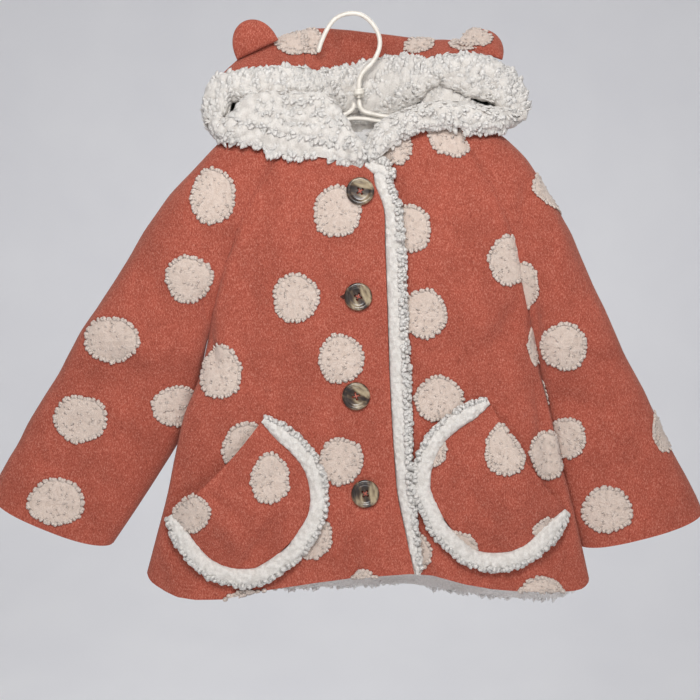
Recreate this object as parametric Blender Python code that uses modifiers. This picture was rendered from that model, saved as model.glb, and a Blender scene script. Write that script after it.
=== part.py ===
"""A toddler's hooded coat with bear ears, hanging flat on a wire hanger.

Lengths are in millimetres in the tables and become metres in the meshes.
X runs across the coat, the coat's front faces -Y, and Z is up. The origin is
the inside of the hanger's hook, where the hook rests on whatever holds it.
"""

import math
from collections import namedtuple

import bmesh
import bpy
import numpy as np
from mathutils.bvhtree import BVHTree

MM = 0.001  # metres in a millimetre

# Driving dimensions, in millimetres
CLOTH = 2.4  # thick napped outer cloth
SHERPA = 4.0  # curly pile lining
SEAM_INSET = 0.2  # each panel's edge stops this far short of its seam
LAYER_GAP = 0.5  # between a panel and what lies on it
TRIM_REACH = 8.0  # a trim's foot clears the highest cloth this near to it
LINING_DEPTH = CLOTH / 2 + LAYER_GAP + SHERPA / 2  # from cloth's middle to lining's middle
FOLD_POWER = 2.6  # how square the flattened body and sleeves are at their folds
LAP_WIDTH = 36.0  # how far one front lies under the other
LAP_FADE = 28.0
LAP_OUT = 1.8  # how far the lap pushes the upper front out
LAP_IN = 1.6  # and the lower front in
BACK_NECK_RISE = 14.0  # back seams reach this much higher than front ones
BAND_RISE = 7.0
POCKET_TRIM_WIDTH = 16.0
POCKET_TRIM_RISE = 8.0
POCKET_DEPTH = 112.0
POCKET_HALF_WIDTH = 80.0
POCKET_LEAN = 6.0  # the pocket's foot leans this far towards its lower end
POCKET_BULGE = 13.0
BUTTON_RADIUS = 13.8
BUTTON_THICKNESS = 4.2
BUTTON_HOLE_RADIUS = 1.3
BUTTON_HOLE_OFFSET = 3.0
WIRE_RADIUS = 2.3
COLLAR_RADIUS = 5.6
COLLAR_LENGTH = 10.0
COLLAR_PLACE = (9.0, -77.0)  # x and z of its middle, on the hook's stem
EAR_THICKNESS = 7.0
FRONT = -1
BACK = 1

# Each sleeve row runs from the outer fold to the raglan seam, and below the
# armpit from the outer fold to the underarm seam. tube goes from 0, open on
# the seam side, to 1, a whole tube. sag drops the middle of the row.
SleeveRow = namedtuple(
    "SleeveRow", "outer_x outer_z inner_x inner_z middle_y depth tube sag"
)
SLEEVE_RIGHT = [
    SleeveRow(-64, -106, -61, -130, 0, 18, 0.0, 0),
    SleeveRow(-110, -116, -83, -160, 0, 25, 0.0, 0),
    SleeveRow(-147, -144, -104, -200, 0, 29, 0.05, 0),
    SleeveRow(-187, -192, -120, -242, 0, 29, 0.2, 0),
    SleeveRow(-231, -260, -133, -288, 1, 27, 0.5, 0),
    SleeveRow(-272, -324, -145, -330, 2, 25, 1.0, 0),
    SleeveRow(-292, -358, -151.5, -362, 10, 24, 1.0, 0),
    SleeveRow(-309, -386, -158, -391, 12, 24, 1.0, 0),
    SleeveRow(-325, -414, -171, -422, 13, 24, 1.0, 0),
    SleeveRow(-339, -440, -193, -458, 13, 24, 1.0, 2),
    SleeveRow(-351, -462, -215, -492, 12, 23, 1.0, 6),
    SleeveRow(-359, -478, -238, -526, 11, 22, 1.0, 13),
]
SLEEVE_LEFT = [
    SleeveRow(111, -104, 106, -114, 0, 18, 0.0, 0),
    SleeveRow(147, -120, 126, -150, 0, 25, 0.0, 0),
    SleeveRow(180, -150, 144, -180, 0, 28, 0.05, 0),
    SleeveRow(207, -198, 160, -220, 0, 29, 0.2, 0),
    SleeveRow(236, -256, 171, -270, 1, 27, 0.5, 0),
    SleeveRow(264, -316, 186.5, -330, 2, 25, 1.0, 0),
    SleeveRow(279, -346, 190, -361, 10, 24, 1.0, 0),
    SleeveRow(293, -374, 195, -390, 13, 24, 1.0, 0),
    SleeveRow(306, -402, 199, -418, 15, 24, 1.0, 0),
    SleeveRow(320, -430, 207, -452, 15, 24, 1.0, 1),
    SleeveRow(336, -462, 217, -490, 14, 23, 1.0, 5),
    SleeveRow(352, -496, 230, -528, 12, 22, 1.0, 11),
]
ARMPIT_ROW = 5

# The body's side folds from the armpit down to the hem.
SideRow = namedtuple("SideRow", "z left_fold_x right_fold_x fold_y hem_share")
BODY_SIDES = [
    SideRow(-330, -142, 184, 2, 0.0),
    SideRow(-362, -149, 189.5, -5, 0.0),
    SideRow(-400, -164, 199, -9, 0.05),
    SideRow(-440, -173, 207, -10, 0.15),
    SideRow(-480, -181, 218, -10, 0.35),
    SideRow(-522, -192, 228, -9, 0.65),
    SideRow(-564, -201, 237, -8, 1.0),
]

# How far the middle of the front and back stand out at each height, and how
# round the cross-section is between its ends (1 is a plain arch).
DepthRow = namedtuple("DepthRow", "z front_y back_y roundness")
BODY_DEPTHS = [
    DepthRow(-110, -18, 19, 1.2),
    DepthRow(-155, -27, 26, 1.3),
    DepthRow(-190, -31, 30, 1.5),
    DepthRow(-231, -32, 31, 1.8),
    DepthRow(-279, -32, 31, 2.2),
    DepthRow(-330, -32, 31, 2.6),
    DepthRow(-480, -33, 32, 2.6),
    DepthRow(-590, -37, 36, 2.6),
]

# Heights of the hems along X, and how far each neckline dips below the
# straight line between its ends, row by row from the neck.
HemPoint = namedtuple("HemPoint", "x front_z back_z")
HEM = [
    HemPoint(-201, -564, -564),
    HemPoint(-185, -576, -579),
    HemPoint(-144, -580, -587),
    HemPoint(-105, -577, -587),
    HemPoint(-50, -564, -581),
    HemPoint(0, -560, -580),
    HemPoint(62, -555, -580),
    HemPoint(100, -564, -583),
    HemPoint(150, -570, -586),
    HemPoint(190, -575, -587),
    HemPoint(225, -575, -580),
    HemPoint(237, -564, -564),
]
FRONT_NECK_DIPS = [30, 17, 8, 2, 0]
BACK_NECK_DIPS = [3, 2, 0, 0, 0]
NECK_CENTRE_X = 20.0
NECK_LEFT_RISE = 45.0  # the left front's neckline climbs within this much of the centre

# The upper front's free edge, top to bottom, and the band's width there.
EdgePoint = namedtuple("EdgePoint", "z x band")
FRONT_EDGE = [
    EdgePoint(-150, 21, 17),
    EdgePoint(-164, 30, 16),
    EdgePoint(-184, 33, 14),
    EdgePoint(-244, 35, 17),
    EdgePoint(-304, 37, 17),
    EdgePoint(-364, 39, 18),
    EdgePoint(-424, 42, 16),
    EdgePoint(-484, 47, 13),
    EdgePoint(-514, 53, 10),
    EdgePoint(-544, 60, 7),
    EdgePoint(-562, 64, 5),
]

# Soft folds: a ridge (height above 0) or a trough, from its top to its foot.
Fold = namedtuple("Fold", "face top_x top_z foot_x foot_z width height")
FOLDS = [
    Fold(FRONT, -118, -300, -150, -570, 20, 4.0),
    Fold(FRONT, -70, -420, -78, -575, 24, -3.5),
    Fold(FRONT, -8, -430, -20, -570, 26, 3.0),
    Fold(FRONT, 120, -330, 128, -570, 24, -3.5),
    Fold(FRONT, 160, -310, 186, -575, 18, 4.0),
    Fold(BACK, -110, -300, -150, -580, 26, 4.0),
    Fold(BACK, -40, -330, -60, -580, 30, -4.0),
    Fold(BACK, 40, -300, 50, -580, 30, 4.5),
    Fold(BACK, 130, -330, 150, -580, 26, -4.0),
]

# The hood's sections from the coat's right corner to its left one.
HoodRow = namedtuple(
    "HoodRow", "x lip_top ridge lip_bottom floor lip_y back_y floor_y"
)
HOOD_ROWS = [
    HoodRow(-143, -74, -68, -88, -104, -12, 28, -8),
    HoodRow(-128, -58, -54, -90, -106, -18, 42, -18),
    HoodRow(-100, -54, -34, -85, -107, -22, 56, -20),
    HoodRow(-65, -49, -18, -77, -102, -20, 64, -8),
    HoodRow(-46, -51, -12, -77, -103, -14, 66, 12),
    HoodRow(-30, -53, -9, -79, -104, -4, 68, 17),
    HoodRow(0, -46, -10, -94, -106, 12, 70, 20),
    HoodRow(30, -38, -14, -100, -106, 12, 70, 20),
    HoodRow(60, -37, -18, -94, -101, -4, 68, 18),
    HoodRow(82, -39, -21, -88, -96, -16, 66, 14),
    HoodRow(92, -38, -22, -86, -95, -20, 64, 6),
    HoodRow(125, -37, -25, -86, -100, -23, 58, -16),
    HoodRow(155, -48, -39, -86, -104, -18, 46, -16),
    HoodRow(178, -70, -64, -87, -102, -10, 30, -8),
]
HOOD_SEAM_ROWS = (4, 9)

# The turned-out edges of the hood's lining, from each corner to the neck.
FlapRow = namedtuple("FlapRow", "x top bottom reach")
FLAP_RIGHT = [
    FlapRow(-146, -99, -112, 0.3),
    FlapRow(-135, -99, -123, 0.6),
    FlapRow(-110, -96, -132, 0.8),
    FlapRow(-80, -91, -140, 0.8),
    FlapRow(-50, -91, -143, 0.5),
    FlapRow(-25, -96, -143, 0.3),
    FlapRow(-5, -115, -146, 0.15),
    FlapRow(12, -134, -149, 0.05),
]
FLAP_LEFT = [
    FlapRow(178, -95, -105, 0.3),
    FlapRow(160, -94, -112, 0.6),
    FlapRow(140, -91.8, -119, 0.7),
    FlapRow(115, -91.6, -117, 0.6),
    FlapRow(90, -91.8, -115, 0.4),
    FlapRow(65, -99, -122, 0.3),
    FlapRow(45, -105, -132, 0.2),
    FlapRow(23, -125, -141, 0.05),
]
FLAP_Y = -31.0

# Patch pockets: the middle of the slanted opening, its direction, and the
# direction that the pocket hangs in, both in the plane of the front.
Pocket = namedtuple("Pocket", "side middle_x middle_z along_x along_z down_x down_z")
POCKETS = [
    Pocket("right", -132, -451, 0.699, 0.715, 0.715, -0.699),
    Pocket("left", 176.0, -440.0, -0.586, 0.810, -0.810, -0.586),
]
POCKET_ROWS = [0.0, 0.1, 0.24, 0.4, 0.56, 0.72, 0.86, 0.96]
POCKET_MARGIN = POCKET_TRIM_WIDTH / 2 + 3  # pocket cloth ends inside its trim
POCKET_COLUMNS = [-1.0, -0.8, -0.5, -0.2, 0.1, 0.4, 0.7, 0.9, 1.0]

ButtonPlace = namedtuple("ButtonPlace", "x z")
BUTTONS = [
    ButtonPlace(10, -178),
    ButtonPlace(8, -282),
    ButtonPlace(6, -380),
    ButtonPlace(15, -476),
]

# Each ear: its foot on the crown, half its width, and the way it stands.
Ear = namedtuple("Ear", "side foot_x foot_z foot_y along_x along_z up_x up_y up_z")
EARS = [
    Ear("right", -92.5, -33.5, 8, 0.902, 0.431, -0.431, 0.0, 0.902),
    Ear("left", 132, -23.5, 17, 0.953, -0.302, 0.2, 0.84, 0.50),
]
EAR_HALF_WIDTH = 23.0
EAR_HEIGHT = 32.0

# The wire's route, by hand: the hook, then the two arms as one loop.
HOOK_ROUTE = [
    (-32, -37), (-28.5, -26), (-23, -14), (-16, -4.5), (-7.5, 0.6), (2, 2.3),
    (11, 0.8), (20, -5.5), (26.8, -15), (29.8, -24.5), (28.8, -34.5),
    (23, -46), (14.5, -55), (9.8, -63), (9, -74), (9, -83),
]
ARMS_ROUTE = [
    (9, -84), (10, -91), (14, -96), (24, -98.8), (38, -101.5), (80, -107.5),
    (112, -112.3), (135, -119.9), (152, -132), (160, -140), (160, -146),
    (152, -146), (135, -133), (110, -123), (80, -116), (35, -107),
    (7, -103), (-14, -107.5), (-60, -123.5), (-102, -135), (-122, -147),
    (-133, -154), (-139, -152), (-137, -144.5), (-122, -130.6), (-100, -121),
    (-60, -114.5), (-15, -102), (-2, -97.5), (3.2, -92), (3.4, -87),
]


# ---------------------------------------------------------------- helpers

def column(table, name):
    return np.array([getattr(row, name) for row in table], float)


def read(table, key, at, name):
    """Reads a column of a table at any value of its key column."""
    keys = column(table, key)
    order = np.argsort(keys)
    return np.interp(at, keys[order], column(table, name)[order])


def signed_power(value, power):
    return np.sign(value) * np.abs(value) ** power


def smooth_step(value):
    value = np.clip(value, 0, 1)
    return value * value * (3 - 2 * value)


def new_material(name, colour, roughness, metallic=0.0):
    material = bpy.data.materials.new(name)
    material.use_nodes = True
    shader = material.node_tree.nodes["Principled BSDF"]
    shader.inputs["Base Color"].default_value = (*colour, 1)
    shader.inputs["Roughness"].default_value = roughness
    shader.inputs["Metallic"].default_value = metallic
    return material


def new_object(name, mesh, material, collection):
    mesh.materials.append(material)
    made = bpy.data.objects.new(name, mesh)
    collection.objects.link(made)
    return made


def mesh_from(name, points, faces):
    """A closed mesh with its faces turned outwards and smooth shading."""
    mesh = bpy.data.meshes.new(name)
    mesh.from_pydata([tuple(MM * c for c in p) for p in points], [], faces)
    shaped = bmesh.new()
    shaped.from_mesh(mesh)
    bmesh.ops.recalc_face_normals(shaped, faces=shaped.faces)
    shaped.to_mesh(mesh)
    shaped.free()
    mesh.shade_smooth()
    mesh.set_sharp_from_angle(angle=math.radians(40))
    return mesh


# ------------------------------------------------- the cloth's middle surface

def raglan_edge(sleeve, face):
    """(x, y, z) of the raglan seam on the front or the back, from the neck down."""
    points = []
    for number, row in enumerate(sleeve[:ARMPIT_ROW]):
        rise = BACK_NECK_RISE * (1 - number / ARMPIT_ROW) if face == BACK else 0
        seam_y = row.middle_y + face * (1 - row.tube) * row.depth
        points.append((row.inner_x, seam_y, row.inner_z + rise))
    return points


def body_edge(sleeve, face, fold_name):
    """The body's edge: the raglan seam, then the side fold."""
    folds = [(getattr(row, fold_name), row.fold_y, row.z) for row in BODY_SIDES]
    return np.array(raglan_edge(sleeve, face) + folds, float)


EDGES = {
    (face, side): body_edge(sleeve, face, fold_name)
    for face in (FRONT, BACK)
    for side, sleeve, fold_name in (
        ("right", SLEEVE_RIGHT, "left_fold_x"),
        ("left", SLEEVE_LEFT, "right_fold_x"),
    )
}


def edge_at(edge, z):
    """x and y of a body edge at a height."""
    upwards = edge[::-1]
    return np.interp(z, upwards[:, 2], upwards[:, 0]), np.interp(
        z, upwards[:, 2], upwards[:, 1]
    )


def fold_relief(x, z, face):
    """How far the soft folds lift the cloth at a point."""
    relief = 0.0
    for fold in FOLDS:
        if fold.face != face:
            continue
        down = np.clip((fold.top_z - z) / (fold.top_z - fold.foot_z), 0, 1)
        middle = fold.top_x + (fold.foot_x - fold.top_x) * down
        across = np.exp(-(((x - middle) / fold.width) ** 2))
        relief += fold.height * across * smooth_step(down)
    return relief


def body_y(x, z, face):
    """The body's middle surface: how far forward or back it lies at (x, z)."""
    right_x, right_y = edge_at(EDGES[face, "right"], z)
    left_x, left_y = edge_at(EDGES[face, "left"], z)
    middle, half = (right_x + left_x) / 2, (left_x - right_x) / 2
    across = np.clip((x - middle) / half, -1, 1)
    end_y = right_y + (left_y - right_y) * (across + 1) / 2
    roundness = read(BODY_DEPTHS, "z", z, "roundness")
    arch = (1 - abs(across) ** FOLD_POWER) ** (1 / roundness)
    centre_y = read(BODY_DEPTHS, "z", z, "front_y" if face == FRONT else "back_y")
    relief = face * fold_relief(x, z, face) * (1 - abs(across) ** 8)
    return end_y + (centre_y - end_y) * arch + relief


def lap_shift(x, z, upper):
    """The fronts part where they overlap: the upper one outwards, the lower inwards."""
    edge = read(FRONT_EDGE, "z", z, "x")
    if upper:
        return -LAP_OUT * smooth_step((x - (edge - LAP_WIDTH - LAP_FADE)) / LAP_FADE)
    return LAP_IN * smooth_step(((edge + LAP_FADE) - x) / LAP_FADE)


def row_height(number, x, ends, face):
    """The height of a body row at x, between its two ends."""
    (start_x, start_z), (end_x, end_z) = ends
    share = (x - start_x) / (end_x - start_x)
    straight = start_z + (end_z - start_z) * share
    if number < ARMPIT_ROW:
        dips = FRONT_NECK_DIPS if face == FRONT else BACK_NECK_DIPS
        curve = math.sin(math.pi * np.clip(share, 0, 1))
        if face == FRONT and x > NECK_CENTRE_X:
            curve = 1 - smooth_step((x - NECK_CENTRE_X) / NECK_LEFT_RISE)
        return straight - dips[number] * curve
    side = BODY_SIDES[number - ARMPIT_ROW]
    hem = read(HEM, "x", x, "front_z" if face == FRONT else "back_z")
    return straight + side.hem_share * (hem - BODY_SIDES[-1].z)


def body_grid(face, columns, span):
    """Rows of points from the neck to the hem. span gives a row's two angles."""
    right, left = EDGES[face, "right"], EDGES[face, "left"]
    grid = []
    for number in range(len(right)):
        ends = (right[number, [0, 2]], left[number, [0, 2]])
        middle = (ends[0][0] + ends[1][0]) / 2
        half = (ends[1][0] - ends[0][0]) / 2
        first, last = span(middle, half, (ends[0][1] + ends[1][1]) / 2)
        row = []
        for angle in np.linspace(first, last, columns):
            x = middle - half * signed_power(math.cos(angle), 2 / FOLD_POWER)
            z = row_height(number, x, ends, face)
            row.append((x, body_y(x, z, face), z))
        row_edges = {0.0: right[number], math.pi: left[number]}
        for place, angle in ((0, first), (-1, last)):
            if angle in row_edges:
                row[place] = tuple(row_edges[angle])
        grid.append(row)
    return np.array(grid, float)


def angle_of(x, middle, half):
    return math.acos(-signed_power(np.clip((x - middle) / half, -1, 1), FOLD_POWER / 2))


def upper_front_span(middle, half, z):
    return 0.0, angle_of(read(FRONT_EDGE, "z", z, "x"), middle, half)


def lower_front_span(middle, half, z):
    under = read(FRONT_EDGE, "z", z, "x") - LAP_WIDTH
    return angle_of(under, middle, half), math.pi


def back_span(middle, half, z):
    return 0.0, math.pi


def lapped(grid, upper):
    moved = grid.copy()
    for row in moved:
        for point in row:
            point[1] += lap_shift(point[0], point[2], upper)
    return moved


def sleeve_grid(sleeve, half_columns=8):
    """Rows round a sleeve, from the front seam over the outer fold to the back seam."""
    grid = []
    for number, row in enumerate(sleeve):
        ends = {}
        for face in (FRONT, BACK):
            rise = 0
            if face == BACK and number < ARMPIT_ROW:
                rise = BACK_NECK_RISE * (1 - number / ARMPIT_ROW)
            ends[face] = np.array([row.inner_x, row.inner_z + rise], float)
        outer = np.array([row.outer_x, row.outer_z], float)
        down = np.array([row.inner_z - row.outer_z, row.outer_x - row.inner_x], float)
        down /= np.linalg.norm(down)
        down *= -np.sign(down[1]) if number >= ARMPIT_ROW else 0
        points = []
        for step in range(-half_columns, half_columns + 1):
            face = FRONT if step < 0 else BACK
            share = abs(step) / half_columns
            whole, quarter = math.pi * share, math.pi / 2 * share
            power = 2 / FOLD_POWER
            across = row.tube * (1 - signed_power(math.cos(whole), power)) / 2
            across += (1 - row.tube) * (1 - max(math.cos(quarter), 0) ** power)
            depth = row.tube * max(math.sin(whole), 0) ** power
            depth += (1 - row.tube) * math.sin(quarter) ** power
            if share == 1:
                across, depth = 1.0, 1 - row.tube
            x, z = outer + (ends[face] - outer) * across
            x, z = np.array([x, z]) + down * row.sag * max(math.sin(whole), 0)
            points.append((x, row.middle_y + face * row.depth * depth, z))
        grid.append(points)
    return np.array(grid, float)


def shared_normals(grids):
    """One normal for each place, so that panels that share a seam share its direction."""
    sums = {}

    def key(point):
        return tuple(np.round(point, 2))

    for grid in grids:
        for r in range(grid.shape[0] - 1):
            for c in range(grid.shape[1] - 1):
                a, b, d, e = grid[r, c], grid[r, c + 1], grid[r + 1, c + 1], grid[r + 1, c]
                normal = np.cross(e - b, d - a)
                for corner in (a, b, d, e):
                    sums[key(corner)] = sums.get(key(corner), 0) + normal
    found = []
    for grid in grids:
        normals = np.array([[sums[key(point)] for point in row] for row in grid])
        lengths = np.linalg.norm(normals, axis=2, keepdims=True)
        found.append(normals / np.maximum(lengths, 1e-9))
    return found


def inset(grid, columns=(0, -1), rows=()):
    """Draws chosen edges of a panel back from their seams."""
    moved = grid.copy()
    for place in columns:
        inner = 1 if place == 0 else -2
        step = grid[:, inner] - grid[:, place]
        length = np.linalg.norm(step, axis=1, keepdims=True)
        moved[:, place] += step / np.maximum(length, 1e-9) * SEAM_INSET
    for place in rows:
        inner = 1 if place == 0 else -2
        step = grid[inner] - grid[place]
        length = np.linalg.norm(step, axis=1, keepdims=True)
        moved[place] += step / np.maximum(length, 1e-9) * SEAM_INSET
    return moved


def wall(name, grid, normals, thickness, depth, material, collection):
    """A closed wall round a grid of points, sunk by depth below the middle surface."""
    rows, columns = grid.shape[:2]
    outer = grid + normals * (thickness / 2 - depth)
    inner = grid - normals * (thickness / 2 + depth)
    points = np.concatenate([outer.reshape(-1, 3), inner.reshape(-1, 3)])
    under = rows * columns
    faces = []
    for r in range(rows - 1):
        for c in range(columns - 1):
            a, b = r * columns + c, r * columns + c + 1
            d, e = a + columns, b + columns
            faces += [(a, b, d), (b, e, d)]
            faces += [(under + b, under + a, under + d), (under + e, under + b, under + d)]
    for place in (0, columns - 1):
        for r in range(rows - 1):
            a, d = r * columns + place, (r + 1) * columns + place
            faces += [(a, d, under + a), (d, under + d, under + a)]
    for place in (0, (rows - 1) * columns):
        for c in range(columns - 1):
            a, b = place + c, place + c + 1
            faces += [(a, b, under + a), (b, under + b, under + a)]
    return new_object(name, mesh_from(name, points, faces), material, collection)


def own_normals(grid, outwards):
    """The normals of one free grid, turned to the side of a given direction."""
    normals = shared_normals([grid])[0]
    if np.sum(normals * np.array(outwards, float)) < 0:
        normals = -normals
    return normals


# ----------------------------------------------------------------- the pieces

def build_body(cloth, sherpa, collection):
    """Fronts, back and sleeves, and the linings that show at the hem and cuffs."""
    grids = {
        "front_right": body_grid(FRONT, 11, upper_front_span),
        "front_left": body_grid(FRONT, 11, lower_front_span),
        "back": body_grid(BACK, 17, back_span)[:, ::-1],
        "sleeve_right": sleeve_grid(SLEEVE_RIGHT)[:, ::-1],
        "sleeve_left": sleeve_grid(SLEEVE_LEFT),
    }
    normals = dict(zip(grids, shared_normals(list(grids.values()))))
    outward_y = {"front_right": -1, "front_left": -1, "back": 1}
    for name, sign in outward_y.items():
        if normals[name][4, 5, 1] * sign < 0:
            raise ValueError(f"{name} faces inwards")
    made = {}
    for name, grid in grids.items():
        shaped = grid
        if name.startswith("front"):
            shaped = lapped(grid, upper=name == "front_right")
        shaped = inset(shaped)
        made[name] = wall(name, shaped, normals[name], CLOTH, 0, cloth, collection)
    back, back_normals = grids["back"][:, 1:-1], normals["back"][:, 1:-1]
    wall("lining_back", back, back_normals, SHERPA, LINING_DEPTH, sherpa, collection)
    for side in ("right", "left"):
        tube = grids["sleeve_" + side][ARMPIT_ROW + 1:]
        tube_normals = normals["sleeve_" + side][ARMPIT_ROW + 1:]
        lining = inset(tube)
        name = "lining_sleeve_" + side
        wall(name, lining, tube_normals, SHERPA, LINING_DEPTH, sherpa, collection)
    free_edge = grids["front_right"][:, -1][:, [0, 2]]
    return made["front_right"], made["front_left"], free_edge


def surface_tree(made):
    """A search tree of one finished panel, for what lies on it."""
    mesh = made.data
    points = [vertex.co.copy() for vertex in mesh.vertices]
    faces = [tuple(polygon.vertices) for polygon in mesh.polygons]
    return BVHTree.FromPolygons(points, faces)


def front_of(tree, x, z):
    """y of the front cloth's face at (x, z), or None beside the cloth."""
    place = tree.ray_cast((x * MM, -0.3, z * MM), (0, 1, 0), 0.6)[0]
    return None if place is None else place.y / MM


def foremost(tree, x, z):
    """y of the cloth that stands out furthest within a trim's reach of (x, z)."""
    steps = (-TRIM_REACH, -TRIM_REACH / 2, 0, TRIM_REACH / 2, TRIM_REACH)
    found = [front_of(tree, x + a, z + b) for a in steps for b in steps]
    found = [y for y in found if y is not None]
    return min(found) if found else body_y(x, z, FRONT) - CLOTH


def roll(name, centres, across, half_widths, rise, foot, material, collection):
    """A soft raised trim: a flat foot and a rounded top, along a line of points."""
    profile = [(-1, 0), (-0.98, 0.4), (-0.7, 0.82), (0, 1), (0.7, 0.82), (0.98, 0.4), (1, 0)]
    points = []
    for centre, direction, half in zip(centres, across, half_widths):
        for sideways, height in profile:
            x, z = np.array(centre) + np.array(direction) * half * sideways
            points.append((x, foot(x, z) - LAYER_GAP - rise * height, z))
    count = len(profile)
    faces = []
    for r in range(len(centres) - 1):
        for c in range(count):
            a, b = r * count + c, r * count + (c + 1) % count
            faces += [(a, b, a + count), (b, b + count, a + count)]
    last = (len(centres) - 1) * count
    for c in range(1, count - 1):
        faces += [(0, c, c + 1), (last, last + c + 1, last + c)]
    return new_object(name, mesh_from(name, points, faces), material, collection)


def build_front_band(edge_line, tree, sherpa, collection):
    """The curly edge that stands out beyond the upper front, over the lower one."""
    halfway = (edge_line[1:] + edge_line[:-1]) / 2
    line = np.array(sorted([*edge_line.tolist(), *halfway.tolist()], key=lambda p: -p[1]))
    centres, across, halves = [], [], []
    for edge, z in line:
        width = read(FRONT_EDGE, "z", z, "band")
        centres.append((edge + LAYER_GAP + width / 2, z))
        across.append((1, 0))
        halves.append(width / 2)

    def foot(x, z):
        return foremost(tree, x, max(z, line[-1][1] + TRIM_REACH))

    roll("front_band", centres, across, halves, BAND_RISE, foot, sherpa, collection)


def pocket_half_width(down, margin=0.0):
    """Half the pocket's width at a depth below its opening: full, and rounded below."""
    share = down / (POCKET_DEPTH - margin)
    full = (POCKET_HALF_WIDTH - margin) * (1 - share ** 2.5) ** 0.4
    return full * (1 - 0.17 * max(0.0, 1 - down / 65))


def pocket_point(pocket, sideways, depth):
    """A point of the pocket's plan: along its mouth, and down from it."""
    middle = np.array([pocket.middle_x, pocket.middle_z])
    along = np.array([pocket.along_x, pocket.along_z])
    down = np.array([pocket.down_x, pocket.down_z])
    lean = POCKET_LEAN * depth / POCKET_DEPTH
    return middle + along * (sideways - lean) + down * depth


def build_pocket(pocket, tree, cloth, sherpa, collection):
    """A pouch that stands open along its slanted edge, and its curly trim."""
    def foot(x, z):
        return foremost(tree, x, z)

    rows = []
    for share in POCKET_ROWS:
        depth = share * (POCKET_DEPTH - POCKET_MARGIN)
        half = pocket_half_width(depth, POCKET_MARGIN)
        row = []
        for side in POCKET_COLUMNS:
            x, z = pocket_point(pocket, half * side, depth)
            dome = (1 - abs(side) ** 2.4) * math.sin(math.pi * (0.35 + 0.63 * share))
            rise = CLOTH / 2 + LAYER_GAP + POCKET_BULGE * dome
            row.append((x, foot(x, z) - rise, z))
        rows.append(row)
    grid = np.array(rows)
    name = "pocket_" + pocket.side
    wall(name, grid, own_normals(grid, (0, -1, 0)), CLOTH, 0, cloth, collection)

    depths = [0.0, 10, 24, 40, 58, 74, 88, 98, 105]
    outline = [(-pocket_half_width(d), d) for d in depths]
    outline += [(s * 15.0, POCKET_DEPTH * (1 - 0.02 * s * s)) for s in (-1, 0, 1)]
    outline += [(pocket_half_width(d), d) for d in reversed(depths)]
    line = [pocket_point(pocket, a, d) for a, d in outline]
    across = []
    for number in range(len(line)):
        ahead = line[min(number + 1, len(line) - 1)] - line[max(number - 1, 0)]
        ahead /= np.linalg.norm(ahead)
        across.append((ahead[1], -ahead[0]))
    halves = [POCKET_TRIM_WIDTH / 2] * len(line)
    name = "pocket_trim_" + pocket.side
    roll(name, line, across, halves, POCKET_TRIM_RISE, foot, sherpa, collection)


def build_button(number, place, tree, horn, collection, cutters):
    """A turned coat button with a sunk middle, a raised rim and four sewing holes."""
    r, t = BUTTON_RADIUS, BUTTON_THICKNESS
    profile = [
        (0, t * 0.62), (r * 0.62, t * 0.62), (r * 0.72, t * 0.8), (r * 0.84, t),
        (r * 0.94, t * 0.9), (r, t * 0.6), (r * 0.96, t * 0.2), (r * 0.8, 0), (0, 0),
    ]
    mesh = bpy.data.meshes.new(f"button_{number}")
    points = [(MM * x, 0, MM * z) for x, z in profile]
    mesh.from_pydata(points, [(i, i + 1) for i in range(len(points) - 1)], [])
    made = new_object(f"button_{number}", mesh, horn, collection)
    turn = made.modifiers.new("turned", "SCREW")
    turn.axis = "Z"
    turn.steps = 20
    turn.render_steps = 20
    turn.use_merge_vertices = True
    turn.merge_threshold = 0.00001
    drill = bmesh.new()
    for quarter in range(4):
        angle = math.pi / 4 + quarter * math.pi / 2
        made_hole = bmesh.ops.create_cone(
            drill, cap_ends=True, segments=6, depth=3 * t * MM,
            radius1=BUTTON_HOLE_RADIUS * MM, radius2=BUTTON_HOLE_RADIUS * MM,
        )
        step = (
            BUTTON_HOLE_OFFSET * MM * math.cos(angle),
            BUTTON_HOLE_OFFSET * MM * math.sin(angle),
            0,
        )
        bmesh.ops.translate(drill, verts=made_hole["verts"], vec=step)
    cutter_mesh = bpy.data.meshes.new(f"button_{number}_holes")
    drill.to_mesh(cutter_mesh)
    drill.free()
    cutter = bpy.data.objects.new(cutter_mesh.name, cutter_mesh)
    cutters.objects.link(cutter)
    cutter.hide_render = True
    cutter.display_type = "WIRE"
    holes = made.modifiers.new("sewing holes", "BOOLEAN")
    holes.object = cutter
    rim = min(
        front_of(tree, place.x + r * math.cos(a), place.z + r * math.sin(a))
        for a in np.linspace(0, 2 * math.pi, 24)
    )
    seat = min(rim, front_of(tree, place.x, place.z)) - LAYER_GAP
    for each in (made, cutter):
        each.rotation_euler = (math.pi / 2, 0, 0)
        each.location = (place.x * MM, seat * MM, place.z * MM)


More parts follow.
